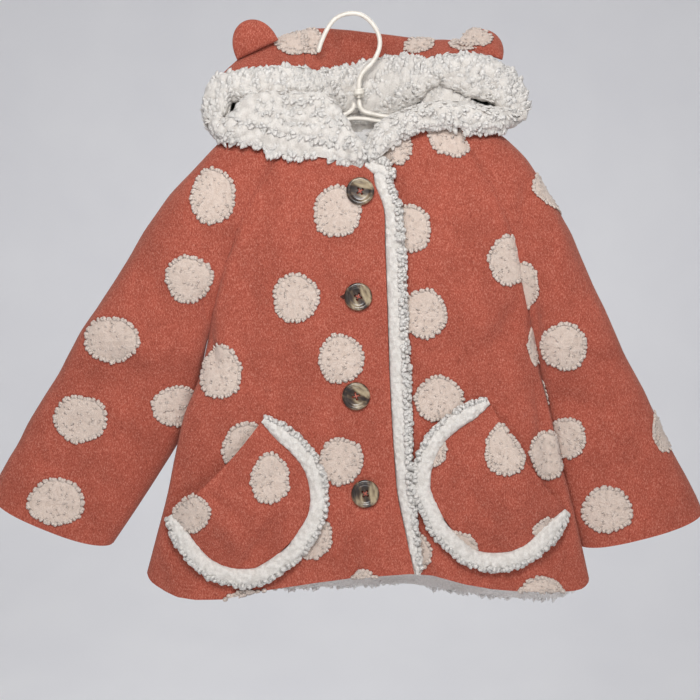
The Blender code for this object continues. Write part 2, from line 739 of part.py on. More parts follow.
def hood_sections():
    """The hood's outer cloth and its lining, section by section along X."""
    outer, lining = [], []
    for row in HOOD_ROWS:
        height = row.ridge - row.floor
        ridge_y = row.lip_y + 0.55 * (row.back_y - row.lip_y)
        outer.append([
            (row.x, row.lip_y + 19, row.lip_top),
            (row.x, (row.lip_y + 19 + ridge_y) / 2, (row.lip_top + row.ridge) / 2 + 3),
            (row.x, ridge_y, row.ridge),
            (row.x, row.back_y - 0.14 * (row.back_y - ridge_y), row.ridge - 0.13 * height),
            (row.x, row.back_y, row.ridge - 0.5 * height),
            (row.x, row.back_y - 5, row.floor + 0.18 * height),
            (row.x, row.back_y - 18, row.floor),
            (row.x, (row.back_y - 18 + row.floor_y) / 2, row.floor - 1),
            (row.x, row.floor_y, row.floor),
        ])
        lip = row.lip_top - row.lip_bottom
        lining.append([
            (row.x, row.lip_y + 12, row.lip_top - 1),
            (row.x, row.lip_y + 4, row.lip_top - 0.5),
            (row.x, row.lip_y, row.lip_top - 0.3 * lip),
            (row.x, row.lip_y + 1, row.lip_top - 0.72 * lip),
            (row.x, row.lip_y + 7, row.lip_bottom),
            (row.x, row.lip_y + 15, row.lip_bottom + 0.1 * lip),
            (row.x, ridge_y - 2, min(row.ridge - 0.22 * height, row.lip_top - 5)),
            (row.x, row.back_y - 8, row.ridge - 0.48 * height),
            (row.x, row.back_y - 13, row.floor + 0.28 * height),
            (row.x, row.back_y - 24, row.floor + 5.5),
        ])
    return np.array(outer, float), np.array(lining, float)


def build_hood(cloth, sherpa, collection):
    """Two sides and a crown strip outside, the curly lining inside and turned out."""
    outer, lining = hood_sections()
    outer_normals = own_normals(outer, (0, 1, 0))
    ends = {
        "hood_side_right": (0, HOOD_SEAM_ROWS[0]),
        "hood_centre": HOOD_SEAM_ROWS,
        "hood_side_left": (HOOD_SEAM_ROWS[1], len(HOOD_ROWS) - 1),
    }
    for name, (first, last) in ends.items():
        seams = [place for place, at in ((0, first), (-1, last)) if at in HOOD_SEAM_ROWS]
        panel = inset(outer[first:last + 1], columns=(), rows=seams)
        wall(name, panel, outer_normals[first:last + 1], CLOTH, 0, cloth, collection)
    lining_normals = own_normals(lining, (0, 1, 0))
    wall("hood_lining", lining, lining_normals, SHERPA, 0, sherpa, collection)
    for side, rows in (("right", FLAP_RIGHT), ("left", FLAP_LEFT)):
        grid = []
        for row in rows:
            fall = row.top - row.bottom
            grid.append([
                (row.x, FLAP_Y + 3, row.bottom),
                (row.x, FLAP_Y, row.bottom + 0.35 * fall),
                (row.x, FLAP_Y, row.bottom + 0.75 * fall),
                (row.x, FLAP_Y + 4, row.top),
                (row.x, FLAP_Y + 6 + 12 * row.reach, row.top + 1.5),
                (row.x, FLAP_Y + 7 + 30 * row.reach, row.top + 0.5),
            ])
        grid = np.array(grid, float)
        name = "hood_lining_side_" + side
        wall(name, grid, own_normals(grid, (0, -1, 0)), SHERPA, 0, sherpa, collection)


def build_ear(ear, cloth, collection):
    """A flat rounded ear of two layers of the outer cloth."""
    foot = np.array([ear.foot_x, ear.foot_y, ear.foot_z])
    along = np.array([ear.along_x, 0, ear.along_z])
    up = np.array([ear.up_x, ear.up_y, ear.up_z])
    grid = []
    for side in np.linspace(-0.97, 0.97, 11):
        height = EAR_HEIGHT * (1 - abs(side) ** 2.3) ** (1 / 2.3)
        point = foot + along * EAR_HALF_WIDTH * side
        grid.append([point + up * height * share for share in (0.0, 0.35, 0.7, 1.0)])
    grid = np.array(grid)
    normals = own_normals(grid, (0, -1, 0))
    name = "ear_" + ear.side
    wall(name, grid, normals, EAR_THICKNESS, 0, cloth, collection)


def build_wire(name, route, material, collection):
    """Coated wire along a hand-laid route in the plane of the hanger."""
    curve = bpy.data.curves.new(name, "CURVE")
    curve.dimensions = "3D"
    curve.bevel_depth = WIRE_RADIUS * MM
    curve.bevel_resolution = 2
    curve.use_fill_caps = True
    points = smooth_route(route)
    spline = curve.splines.new("POLY")
    spline.points.add(len(points) - 1)
    for point, (x, z) in zip(spline.points, points):
        point.co = (x * MM, 0, z * MM, 1)
    curve.materials.append(material)
    made = bpy.data.objects.new(name, curve)
    collection.objects.link(made)


def smooth_route(route, steps=2):
    """A Catmull-Rom curve through the route's points."""
    points = [np.array(p, float) for p in route]
    points = [2 * points[0] - points[1], *points, 2 * points[-1] - points[-2]]
    smooth = []
    for before, start, end, after in zip(points, points[1:], points[2:], points[3:]):
        for step in range(steps):
            t = step / steps
            smooth.append(0.5 * (
                2 * start + (end - before) * t
                + (2 * before - 5 * start + 4 * end - after) * t * t
                + (3 * start - before - 3 * end + after) * t ** 3
            ))
    return smooth + [points[-2]]


def build_collar(material, collection):
    """The wire's two turns round the hook's stem."""
    inner = WIRE_RADIUS + 0.4
    outer = COLLAR_RADIUS
    half = COLLAR_LENGTH / 2
    profile = [
        (inner, half), (outer - 1, half), (outer, half - 1.2), (outer, 1.2),
        (outer - 1.2, 0), (outer, -1.2), (outer, 1.2 - half), (outer - 1, -half),
        (inner, -half), (inner, half),
    ]
    mesh = bpy.data.meshes.new("hanger_collar")
    points = [(MM * x, 0, MM * z) for x, z in profile[:-1]]
    count = len(points)
    mesh.from_pydata(points, [(i, (i + 1) % count) for i in range(count)], [])
    made = new_object("hanger_collar", mesh, material, collection)
    turn = made.modifiers.new("turned", "SCREW")
    turn.axis = "Z"
    turn.steps = 16
    turn.render_steps = 16
    turn.use_merge_vertices = True
    turn.merge_threshold = 0.00001
    made.location = (COLLAR_PLACE[0] * MM, 0, COLLAR_PLACE[1] * MM)


def main():
    for thing in list(bpy.data.objects):
        bpy.data.objects.remove(thing, do_unlink=True)
    coat = bpy.data.collections.new("hooded_coat")
    cutters = bpy.data.collections.new("cutters")
    for each in (coat, cutters):
        bpy.context.scene.collection.children.link(each)
    cutters.hide_render = True
    cloth = new_material("napped_cloth", (0.44, 0.12, 0.08), 0.95)
    sherpa = new_material("sherpa_pile", (0.62, 0.59, 0.56), 1.0)
    horn = new_material("button_horn", (0.10, 0.05, 0.03), 0.35)
    coating = new_material("coated_wire", (0.72, 0.68, 0.63), 0.4)

    front_right, front_left, free_edge = build_body(cloth, sherpa, coat)
    upper, lower = surface_tree(front_right), surface_tree(front_left)
    build_front_band(free_edge, lower, sherpa, coat)
    for pocket, tree in zip(POCKETS, (upper, lower)):
        build_pocket(pocket, tree, cloth, sherpa, coat)
    for number, place in enumerate(BUTTONS, start=1):
        build_button(number, place, upper, horn, coat, cutters)
    build_hood(cloth, sherpa, coat)
    for ear in EARS:
        build_ear(ear, cloth, coat)
    build_wire("hanger_hook", HOOK_ROUTE, coating, coat)
    build_wire("hanger_arms", ARMS_ROUTE, coating, coat)
    build_collar(coating, coat)


main()
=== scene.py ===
# %% [markdown]
# # A toddler's hooded coat on a coated wire hanger
# The coat is a thick napped cloth with tufted dots, lined with curly pile that
# turns out round the hood and edges the front and the pockets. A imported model
# gives every piece its place. Each cell below makes one kind of piece finely,
# in the same place, and dresses it in its own finish. Lengths are millimetres
# in the tables and metres in Blender; x runs across, the front faces -y, z is up.

import math
from collections import namedtuple

import bmesh
import bpy
import numpy as np
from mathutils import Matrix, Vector, noise
from mathutils.bvhtree import BVHTree


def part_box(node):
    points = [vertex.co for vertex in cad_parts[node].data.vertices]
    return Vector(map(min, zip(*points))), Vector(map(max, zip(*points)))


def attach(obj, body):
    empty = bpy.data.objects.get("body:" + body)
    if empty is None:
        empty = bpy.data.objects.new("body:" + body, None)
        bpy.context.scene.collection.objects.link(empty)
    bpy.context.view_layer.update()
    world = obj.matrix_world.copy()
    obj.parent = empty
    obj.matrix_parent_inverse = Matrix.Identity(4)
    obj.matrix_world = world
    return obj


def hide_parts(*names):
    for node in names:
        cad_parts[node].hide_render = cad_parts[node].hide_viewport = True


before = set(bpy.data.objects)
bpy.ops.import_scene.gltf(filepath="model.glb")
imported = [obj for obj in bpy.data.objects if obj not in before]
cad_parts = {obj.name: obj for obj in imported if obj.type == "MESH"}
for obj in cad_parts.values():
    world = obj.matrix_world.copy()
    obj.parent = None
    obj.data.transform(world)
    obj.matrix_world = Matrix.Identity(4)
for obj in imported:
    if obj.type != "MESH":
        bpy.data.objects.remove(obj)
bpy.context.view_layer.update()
MM = 0.001
FRONT, BACK = -1, 1
print("frame:", len(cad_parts), "nodes")

# %% [markdown]
# ## Camera
# The photograph looks straight at the coat from a long way off, so the lines
# stay nearly parallel. The camera stands 2.4 m away, level with the middle of
# the picture. One pixel of the photograph is then 1 mm on the hanger's plane.
# Everything given in pixels goes through one function, from pixel to place.

# %% Camera
PHOTO = 700
CAMERA_DISTANCE = 2400.0
VIEW_Z = -334.5
SENSOR = 36.0


def in_scene(name, data):
    """A new object, linked to the scene."""
    made = bpy.data.objects.new(name, data)
    bpy.context.scene.collection.objects.link(made)
    return made


camera = in_scene("camera", bpy.data.cameras.new("camera"))
camera.data.sensor_width = SENSOR
camera.data.lens = SENSOR * CAMERA_DISTANCE / PHOTO
camera.location = (0, -CAMERA_DISTANCE * MM, VIEW_Z * MM)
camera.rotation_euler = (math.pi / 2, 0, 0)
bpy.context.scene.camera = camera


def from_photo(px, py, y=0.0):
    """x and z, in mm, of what a pixel shows at a depth of y."""
    scale = 1 + y / CAMERA_DISTANCE
    return (px - PHOTO / 2) * scale, VIEW_Z + (PHOTO / 2 - py) * scale


print("lens:", round(camera.data.lens, 1), "mm")

# %% [markdown]
# ## Light
# The picture is lit by one soft light from above the middle, near enough that
# the sleeves' ends fall off, and by a pale room all round. An area light gives
# the first. Dim ones from the right and below keep the folds readable, two
# more light the back and the wall behind, and the world gives the rest.

# %% Light
def linear(hex_colour):
    """An sRGB hex colour as linear RGBA."""
    parts = [int(hex_colour[i:i + 2], 16) / 255 for i in (0, 2, 4)]
    return (*[c / 12.92 if c <= 0.04045 else ((c + 0.055) / 1.055) ** 2.4 for c in parts], 1.0)


def area_light(name, place, size, watts, target=(0, 0, VIEW_Z * MM)):
    """A square lamp, in metres and watts, that looks at a target."""
    lamp = in_scene(name, bpy.data.lights.new(name, "AREA"))
    lamp.data.size = size
    lamp.data.energy = watts
    lamp.location = place
    lamp.rotation_euler = (Vector(target) - lamp.location).to_track_quat("-Z", "Y").to_euler()


area_light("key", (-0.05, -1.05, 0.32), 0.55, 12)
area_light("fill", (1.6, -2.0, 0.0), 1.6, 5)
area_light("low", (0.1, -1.2, -1.4), 0.8, 11)
area_light("rear", (0.6, 2.2, 1.0), 1.4, 24)
area_light("wash", (0.0, 1.6, -0.2), 1.2, 17, (0, 4.2, -1.2))

world = bpy.data.worlds.new("pale_room")
world.use_nodes = True
backdrop = world.node_tree.nodes["Background"].inputs
backdrop["Color"].default_value = linear("eeeef1")
backdrop["Strength"].default_value = 0.44
bpy.context.scene.world = world
bpy.context.scene.view_settings.view_transform = "Standard"

# %% [markdown]
# ## One function for every node
# All finishes below are node trees. This helper adds one node, sets its
# settings and fills its inputs with values or with other nodes' outputs, so a
# material reads as a list of what it is made of.

# %% Material helpers
def add(tree, kind, inputs=None, **settings):
    """Adds a node; inputs holds values and links by socket name or number."""
    made = tree.nodes.new(kind)
    for name, value in settings.items():
        setattr(made, name, value)
    for name, value in (inputs or {}).items():
        if isinstance(value, bpy.types.NodeSocket):
            tree.links.new(value, made.inputs[name])
        else:
            made.inputs[name].default_value = value
    return made


def start_material(name):
    """An empty material, its tree and the place of each point, in metres."""
    material = bpy.data.materials.new(name)
    material.use_nodes = True
    tree = material.node_tree
    return material, tree, add(tree, "ShaderNodeTexCoord").outputs["Object"]


def dressed(material, colour, normal=None, **values):
    """Gives the shader its colour, relief and even values; _ is a space in a socket's name."""
    shader = material.node_tree.nodes["Principled BSDF"]
    material.node_tree.links.new(colour, shader.inputs["Base Color"])
    if normal is not None:
        material.node_tree.links.new(normal, shader.inputs["Normal"])
    for name, value in values.items():
        shader.inputs[name.replace("_", " ")].default_value = value
    return material


def speckle(tree, place, size_mm, detail=3.0, rough=0.6):
    """Noise whose blotches are about size_mm across."""
    inputs = {"Vector": place, "Scale": 1 / (size_mm * MM), "Detail": detail, "Roughness": rough}
    return add(tree, "ShaderNodeTexNoise", inputs).outputs["Fac"]


def stretched(tree, place, scale):
    """Places scaled along x, y and z, so that a pattern on them is drawn out."""
    return add(tree, "ShaderNodeMapping", {"Vector": place, "Scale": scale}).outputs["Vector"]


def contrast(tree, value, low, high):
    """Stretches the middle of a noise to the whole span from 0 to 1."""
    inputs = {"Value": value, "From Min": low, "From Max": high}
    return add(tree, "ShaderNodeMapRange", inputs).outputs["Result"]


def ramp(tree, value, stops):
    """Maps a value to colours: stops are (position, hex colour)."""
    made = add(tree, "ShaderNodeValToRGB", {"Fac": value})
    elements = made.color_ramp.elements
    while len(elements) < len(stops):
        elements.new(0.5)
    for element, (position, colour) in zip(elements, stops):
        element.position = position
        element.color = linear(colour)
    return made.outputs["Color"]


def tinted(tree, colour, value, low, high):
    """A colour made darker or lighter by a value from 0 to 1."""
    factor = add(tree, "ShaderNodeMapRange", {"Value": value, "To Min": low, "To Max": high})
    mixed = add(tree, "ShaderNodeVectorMath", {0: colour, 1: factor.outputs[0]}, operation="MULTIPLY")
    return mixed.outputs["Vector"]


def bumped(tree, height, depth_mm, strength, under=None):
    """A bump of a depth in mm, over another one where there is one."""
    inputs = {"Height": height, "Distance": depth_mm * MM, "Strength": strength}
    if under is not None:
        inputs["Normal"] = under
    return add(tree, "ShaderNodeBump", inputs).outputs["Normal"]


# %% [markdown]
# ## Napped wool-look fleece
# The outer cloth is knitted, then brushed and felted until short fibres hide
# the stitches. The eye sees fine flecks about 1 mm across, slightly longer down the
# nap, a faint cloudiness some 10 mm across where the nap lies differently,
# and a pale bloom where the cloth turns away, which is the shader's sheen.

# %% Napped fleece
def napped_fleece():
    material, tree, place = start_material("napped_fleece_brick_red")
    nap = stretched(tree, place, (1.0, 1.0, 0.6))
    fleck = contrast(tree, speckle(tree, nap, 1.15, 3.0, 0.75), 0.28, 0.72)
    cloud = speckle(tree, place, 14.0)
    broad = speckle(tree, place, 90.0, 2.0)
    brushed = contrast(tree, speckle(tree, nap, 34.0, 2.0), 0.3, 0.7)
    colour = ramp(tree, fleck, [(0.1, "873d30"), (0.42, "a24f3f"), (0.60, "ae5b49"), (0.95, "c68271")])
    for value, low, high in ((cloud, 0.84, 1.15), (broad, 0.9, 1.08), (brushed, 0.92, 1.07)):
        colour = tinted(tree, colour, value, low, high)
    normal = bumped(tree, fleck, 0.55, 0.9, bumped(tree, cloud, 2.0, 0.6))
    return dressed(
        material, colour, normal, Roughness=0.95, Specular_IOR_Level=0.18,
        Sheen_Weight=0.28, Sheen_Roughness=0.45, Sheen_Tint=linear("f2c9b8"))


# %% [markdown]
# ## Curly pile
# Sherpa is a knit whose long loops are cut and crimped into small curls. Its
# roots lie in shade and its tips catch the light, and the colour paints both:
# painted shade at the roots, painted light at the tips. Each mesh of pile stores
# how high every point stands as the attribute "tip", and the colour follows it.

# %% Curly pile
def curly_pile(name, root, middle, tip, hair_mm, glow):
    material, tree, place = start_material(name)
    height = add(tree, "ShaderNodeAttribute", attribute_name="tip").outputs["Fac"]
    hair = contrast(tree, speckle(tree, place, hair_mm, 3.0, 0.7), 0.3, 0.7)
    # Painted shade and light: the root colour is shaded pile, the tip colour lit pile.
    colour = ramp(tree, height, [(0.0, root), (0.42, middle), (1.0, tip)])
    colour = tinted(tree, colour, hair, 0.88, 1.08)
    colour = tinted(tree, colour, speckle(tree, place, 45.0, 2.0), 0.94, 1.05)
    return dressed(
        material, colour, bumped(tree, hair, 0.6, 0.9), Roughness=0.95, Specular_IOR_Level=0.15,
        Sheen_Weight=0.3, Sheen_Roughness=0.5, Subsurface_Weight=glow,
        Subsurface_Radius=(1.0, 0.95, 0.9), Subsurface_Scale=3.0 * MM)


# %% [markdown]
# ## Buttons and wire
# The buttons are cast polyester made to look like horn: cloudy brown streaks
# under a polished, clear surface. The wire is steel dipped in soft plastic,
# off-white, slightly uneven and satin.

# %% Button, wire and thread
def horn_resin():
    material, tree, place = start_material("cast_resin_horn_brown")
    drawn = stretched(tree, place, (0.35, 1.0, 1.0))
    cloud = speckle(tree, drawn, 7.0, 2.5, 0.5)
    colour = ramp(tree, cloud, [(0.34, "150d08"), (0.46, "33231a"), (0.55, "62503c"), (0.68, "a8977a")])
    colour = tinted(tree, colour, speckle(tree, drawn, 1.6), 0.8, 1.15)
    scratch = bumped(tree, speckle(tree, place, 0.8, 5.0), 0.08, 0.4)
    return dressed(
        material, colour, scratch, Roughness=0.28, IOR=1.54, Coat_Weight=0.35, Coat_Roughness=0.12)


def dipped_wire():
    material, tree, place = start_material("dipped_plastic_off_white")
    colour = ramp(tree, speckle(tree, place, 6.0), [(0.25, "cfc8bd"), (0.75, "e6e0d6")])
    normal = bumped(tree, speckle(tree, place, 2.5, 2.0), 0.15, 0.5)
    return dressed(material, colour, normal, Roughness=0.34, IOR=1.48)


def spun_thread(name, dark, light):
    material, tree, place = start_material(name)
    waves = {"Vector": place, "Scale": 1 / (0.9 * MM), "Distortion": 2.0}
    twist = add(tree, "ShaderNodeTexWave", waves).outputs["Fac"]
    colour = ramp(tree, twist, [(0.1, dark), (0.9, light)])
    return dressed(material, colour, bumped(tree, twist, 0.2, 0.6), Roughness=0.8)


FLEECE = napped_fleece()
SHERPA = curly_pile("curly_pile_off_white", "bdb6af", "d4cec7", "e6e1db", 1.5, 0.3)
# A lighter copy of the curly pile for the linings at the hem and cuffs: painted light that makes up for
# the shade they hang in.
LIT_LINING_PILE = curly_pile("curly_pile_lining_painted_light", "dedad6", "eeebe8", "f6f4f2", 1.8, 0.12)
TUFT = curly_pile("tufted_dot_cream", "bba89b", "cebbae", "dccbbf", 1.4, 0.25)
HORN = horn_resin()
WIRE = dipped_wire()
THREAD = spun_thread("spun_thread_brick_red", "9c4a3c", "cf7f6c")
STITCH = spun_thread("spun_thread_dark_red", "3a1812", "5c2a20")
print("materials:", len(bpy.data.materials))


# %% [markdown]
# ## A plain pale floor
# The floor runs back and curves up into a wall, like a roll of paper, and the
# wall is far enough behind the coat to walk round it.

# %% Floor
def build_floor():
    """A pale floor that curves up into a far wall."""
    material, tree, place = start_material("matt_paper_pale_grey")
    colour = ramp(tree, speckle(tree, place, 300.0, 2.0), [(0.3, "ececef"), (0.7, "f1f1f3")])
    near, low, far, bend, top, half = -5.0, -1.3, 4.2, 1.2, 4.0, 6.0
    profile = [(near, low), (far - bend, low)]
    for step in range(1, 13):
        angle = math.pi / 2 * step / 12
        profile.append((far - bend + bend * math.sin(angle), low + bend * (1 - math.cos(angle))))
    profile.append((far, top))
    points = [(x, y, z) for y, z in profile for x in (-half, half)]
    faces = [(2 * i, 2 * i + 1, 2 * i + 3, 2 * i + 2) for i in range(len(profile) - 1)]
    mesh = bpy.data.meshes.new("floor")
    mesh.from_pydata(points, [], faces)
    mesh.shade_smooth()
    mesh.materials.append(dressed(material, colour, Roughness=0.95))
    in_scene("floor", mesh)


build_floor()

# %% [markdown]
# ## The coat's own measurements
# A garment is flat panels that meet at seams. These tables hold the sizes of
# the worn-in, hanging shape: one row for each level of a sleeve, of the side
# folds and of the hem. Every panel is then worked out as a grid of points.

# %% Tables of the body and sleeves
CLOTH = 2.4
PILE_BASE = 4.0
SEAM_INSET = 0.2
SIDE_OVERLAP = 0.5
LINING_DEPTH = CLOTH / 2 + 0.5 + PILE_BASE / 2
FOLD_POWER = 2.6
LAP_WIDTH = 36.0
LAP_FADE = 28.0
LAP_OUT = 1.8
LAP_IN = 4.5
LAP_STEP = 12.0
LAP_REACH = 26.0
BACK_NECK_RISE = 14.0
ARMPIT_ROW = 5
NECK_CENTRE_X = 20.0
NECK_LEFT_RISE = 45.0

SleeveRow = namedtuple("SleeveRow", "outer_x outer_z inner_x inner_z middle_y depth tube sag")
SLEEVE_RIGHT = [SleeveRow(*row) for row in [
    (-64, -106, -61, -130, 0, 18, 0.0, 0),
    (-110, -116, -83, -160, 0, 25, 0.0, 0),
    (-147, -144, -104, -200, 0, 29, 0.05, 0),
    (-187, -192, -120, -242, 0, 29, 0.2, 0),
    (-231, -260, -133, -288, 1, 27, 0.5, 0),
    (-272, -324, -145, -330, 2, 25, 1.0, 0),
    (-292, -358, -151.5, -362, 10, 24, 1.0, 0),
    (-309, -386, -158, -391, 12, 24, 1.0, 0),
    (-325, -414, -171, -422, 13, 24, 1.0, 0),
    (-339, -440, -193, -458, 13, 24, 1.0, 2),
    (-351, -462, -215, -492, 12, 23, 1.0, 6),
    (-359, -478, -238, -526, 11, 22, 1.0, 13),
]]
SLEEVE_LEFT = [SleeveRow(*row) for row in [
    (111, -104, 106, -114, 0, 18, 0.0, 0),
    (147, -120, 126, -150, 0, 25, 0.0, 0),
    (180, -150, 144, -180, 0, 28, 0.05, 0),
    (207, -198, 160, -220, 0, 29, 0.2, 0),
    (236, -256, 171, -270, 1, 27, 0.5, 0),
    (264, -316, 186.5, -330, 2, 25, 1.0, 0),
    (279, -346, 190, -361, 10, 24, 1.0, 0),
    (293, -374, 195, -390, 13, 24, 1.0, 0),
    (306, -402, 199, -418, 15, 24, 1.0, 0),
    (320, -430, 207, -452, 15, 24, 1.0, 1),
    (336, -462, 217, -490, 14, 23, 1.0, 5),
    (352, -496, 230, -528, 12, 22, 1.0, 11),
]]
SideRow = namedtuple("SideRow", "z left_fold_x right_fold_x fold_y hem_share")
BODY_SIDES = [SideRow(*row) for row in [
    (-330, -142, 184, 2, 0.0),
    (-362, -149, 189.5, -5, 0.0),
    (-400, -164, 199, -9, 0.05),
    (-440, -173, 207, -10, 0.15),
    (-480, -181, 218, -10, 0.35),
    (-522, -192, 228, -9, 0.65),
    (-564, -201, 237, -8, 1.0),
]]
DepthRow = namedtuple("DepthRow", "z front_y back_y roundness")
BODY_DEPTHS = [DepthRow(*row) for row in [
    (-110, -18, 19, 1.2),
    (-155, -27, 26, 1.3),
    (-190, -31, 30, 1.5),
    (-231, -32, 31, 1.8),
    (-279, -32, 31, 2.2),
    (-330, -32, 31, 2.6),
    (-480, -33, 32, 2.6),
    (-590, -37, 36, 2.6),
]]
HemPoint = namedtuple("HemPoint", "x front_z back_z")
HEM = [HemPoint(*row) for row in [
    (-201, -556, -556), (-199, -561.5, -561.5), (-196, -565, -565), (-191, -568.5, -568.5),
    (-182, -573.5, -573.5), (-170, -578.6, -576.5), (-153, -581, -579), (-124, -580.5, -580),
    (-97, -574, -577), (-59, -568, -575), (-32, -563.5, -574), (0, -559.4, -573), (60, -555, -571),
    (86, -558, -574), (114, -566, -579), (140, -570.6, -582), (167, -572.5, -584), (212, -573.5, -583),
    (222, -573, -577), (229, -571.5, -572), (233, -569, -569), (236, -565.5, -565.5), (237, -562, -562),
]]
FRONT_NECK_DIPS = [22, 15, 8, 2, 0]
BACK_NECK_DIPS = [3, 2, 0, 0, 0]
EdgePoint = namedtuple("EdgePoint", "z x band")
FRONT_EDGE = [EdgePoint(*row) for row in [
    (-150, 21, 17), (-164, 30, 16), (-184, 33, 14), (-244, 35, 17), (-304, 37, 17), (-364, 39, 18),
    (-424, 42, 16), (-484, 47, 13), (-514, 53, 10), (-544, 60, 7), (-562, 64, 5),
]]

# %% [markdown]
# ## Soft folds and creases
# Thick fleece hardly wrinkles: it bends in a few long soft troughs that start
# where it is held, at the armpits, the pockets and the neck. Each row places
# one, from its top to its foot, as a ridge or a trough of its own width.

# %% Tables of the folds
Fold = namedtuple("Fold", "face top_x top_z foot_x foot_z width height")
BODY_FOLDS = [Fold(*row) for row in [
    (FRONT, -118, -300, -150, -570, 20, 4.0), (FRONT, -70, -420, -78, -575, 24, -3.5),
    (FRONT, -8, -430, -20, -570, 26, 3.0), (FRONT, 120, -330, 128, -570, 24, -3.5),
    (FRONT, 160, -310, 186, -575, 18, 4.0), (BACK, -110, -300, -150, -580, 26, 4.0),
    (BACK, -40, -330, -60, -580, 30, -4.0), (BACK, 40, -300, 50, -580, 30, 4.5),
    (BACK, 130, -330, 150, -580, 26, -4.0),
]]
CREASES = [Fold(*row) for row in [
    (FRONT, -146, -272, -132, -352, 5, -4.9), (FRONT, -140, -318, -96, -352, 9, 3.6),
    (FRONT, -60, -152, -8, -158, 5, -2.8), (FRONT, -120, -236, -92, -296, 11, -3.4),
    (FRONT, 176, -160, 170, -232, 8, -4.2), (FRONT, 198, -190, 216, -262, 10, 4.5),
    (FRONT, 178, -262, 188, -330, 6, -4.2), (FRONT, 186, -372, 206, -520, 9, -5.0),
    (FRONT, 168, -300, 120, -350, 12, -3.9), (FRONT, -208, -230, -180, -300, 15, -4.5),
    (FRONT, -262, -330, -200, -366, 13, -4.5), (FRONT, -262, -392, -190, -412, 16, 3.9),
    (FRONT, 214, -330, 262, -352, 13, -4.2), (FRONT, 236, -400, 290, -416, 16, 3.9),
    (FRONT, 240, -452, 300, -470, 14, -3.6), (FRONT, -300, -440, -250, -478, 14, -3.9),
    (FRONT, 60, -140, 84, -190, 12, -3.6), (FRONT, 4, -520, 0, -566, 9, -3.9),
    (FRONT, -36, -524, -14, -556, 5, -2.1), (FRONT, -96, -566, -76, -584, 7, -2.3),
    (FRONT, -186, -520, -170, -572, 8, 2.7), (FRONT, 70, -540, 84, -566, 6, -2.1),
    (FRONT, -40, -330, 6, -372, 16, 2.5), (FRONT, 60, -200, 120, -262, 16, 2.5),
    (BACK, -90, -190, -60, -330, 16, -5.0), (BACK, 96, -200, 120, -320, 15, 5.0),
    (BACK, -150, -280, -130, -350, 7, -4.6), (BACK, 176, -270, 186, -350, 7, -4.6),
    (BACK, -20, -140, 50, -152, 8, -3.4), (BACK, -270, -350, -190, -372, 13, -4.8),
    (BACK, 220, -340, 280, -362, 13, -4.8), (BACK, -300, -440, -240, -470, 15, 4.2),
    (BACK, 240, -440, 310, -452, 15, 4.2), (FRONT, -285, -350, -215, -382, 12, -4.0),
    (FRONT, -318, -438, -288, -464, 13, -4.0), (FRONT, -278, -498, -248, -512, 10, -2.6),
    (FRONT, -248, -425, -214, -472, 14, 3.4), (FRONT, -58, -188, -106, -226, 12, -3.6),
    (FRONT, -42, -234, -68, -264, 9, -3.0), (FRONT, -112, -328, -86, -378, 10, -3.6),
    (FRONT, -34, -285, -16, -332, 17, 3.0), (FRONT, -22, -372, -36, -412, 11, -3.4),
    (FRONT, -2, -500, 4, -560, 7, -2.6), (FRONT, 17, -488, 21, -550, 8, 2.4),
    (FRONT, 128, -205, 128, -318, 13, 3.4), (FRONT, 170, -275, 150, -340, 11, -3.6),
    (FRONT, 120, -126, 104, -160, 10, -2.8), (FRONT, 190, -212, 214, -276, 12, 3.2),
    (FRONT, 200, -380, 248, -394, 12, -3.6), (FRONT, 248, -350, 268, -404, 14, 3.4),
    (FRONT, 304, -474, 260, -434, 13, -3.8), (FRONT, -196, -250, -150, -262, 14, 2.6),
    (FRONT, -128, -168, -120, -232, 9, -3.2), (FRONT, -170, -430, -160, -520, 10, -2.8),
    (FRONT, 96, -300, 84, -400, 13, -2.8), (BACK, -200, -250, -150, -262, 14, 3.0),
    (BACK, -100, -380, -80, -520, 16, -3.6), (BACK, 20, -200, 10, -320, 16, 3.4),
    (BACK, 90, -380, 110, -540, 15, 3.6), (BACK, 200, -380, 250, -396, 13, -3.6),
    (BACK, 300, -470, 262, -436, 13, -3.6), (BACK, -318, -438, -288, -464, 13, -3.6),
]]


def smooth_step(value):
    value = np.clip(value, 0, 1)
    return value * value * (3 - 2 * value)


def body_relief(x, z, face):
    """How far the long folds lift the body's cloth at a point."""
    relief = 0.0
    for fold in BODY_FOLDS:
        if fold.face == face:
            down = np.clip((fold.top_z - z) / (fold.top_z - fold.foot_z), 0, 1)
            middle = fold.top_x + (fold.foot_x - fold.top_x) * down
            relief += fold.height * np.exp(-(((x - middle) / fold.width) ** 2)) * smooth_step(down)
    return relief


def crease_relief(points, normals, folds):
    """The creases at each point, by its distance from each crease's line."""
    relief = np.zeros(points.shape[:2])
    for fold in folds:
        start = np.array([fold.top_x, fold.top_z], float)
        line = np.array([fold.foot_x, fold.foot_z], float) - start
        away = points[..., [0, 2]] - start
        share = np.clip(away @ line / (line @ line), 0, 1)
        distance = np.linalg.norm(away - share[..., None] * line, axis=-1)
        fade = np.sin(np.pi * np.clip(share * 0.84 + 0.08, 0, 1)) ** 0.7
        faces_it = np.clip(fold.face * normals[..., 1] * 3, 0, 1)
        relief += fold.height * fade * faces_it * np.exp(-((distance / fold.width) ** 2))
    return relief


def waver(points, size_mm, seed):
    """Smooth noise from -1 to 1 at every point of an array."""
    flat = points.reshape(-1, 3) / size_mm + seed * 7.3
    return np.array([noise.noise(p) for p in flat]).reshape(points.shape[:-1])


print("creases:", len(CREASES))

# %% [markdown]
# ## From tables to a fine grid
# A panel starts as a coarse grid, one row for each table row, with the fold at
# its side drawn by a squared-off arch. A Catmull-Rom curve through the rows
# then fills in the levels between, so the cloth bends smoothly down its length
# and the panels that share a seam get the same points there.

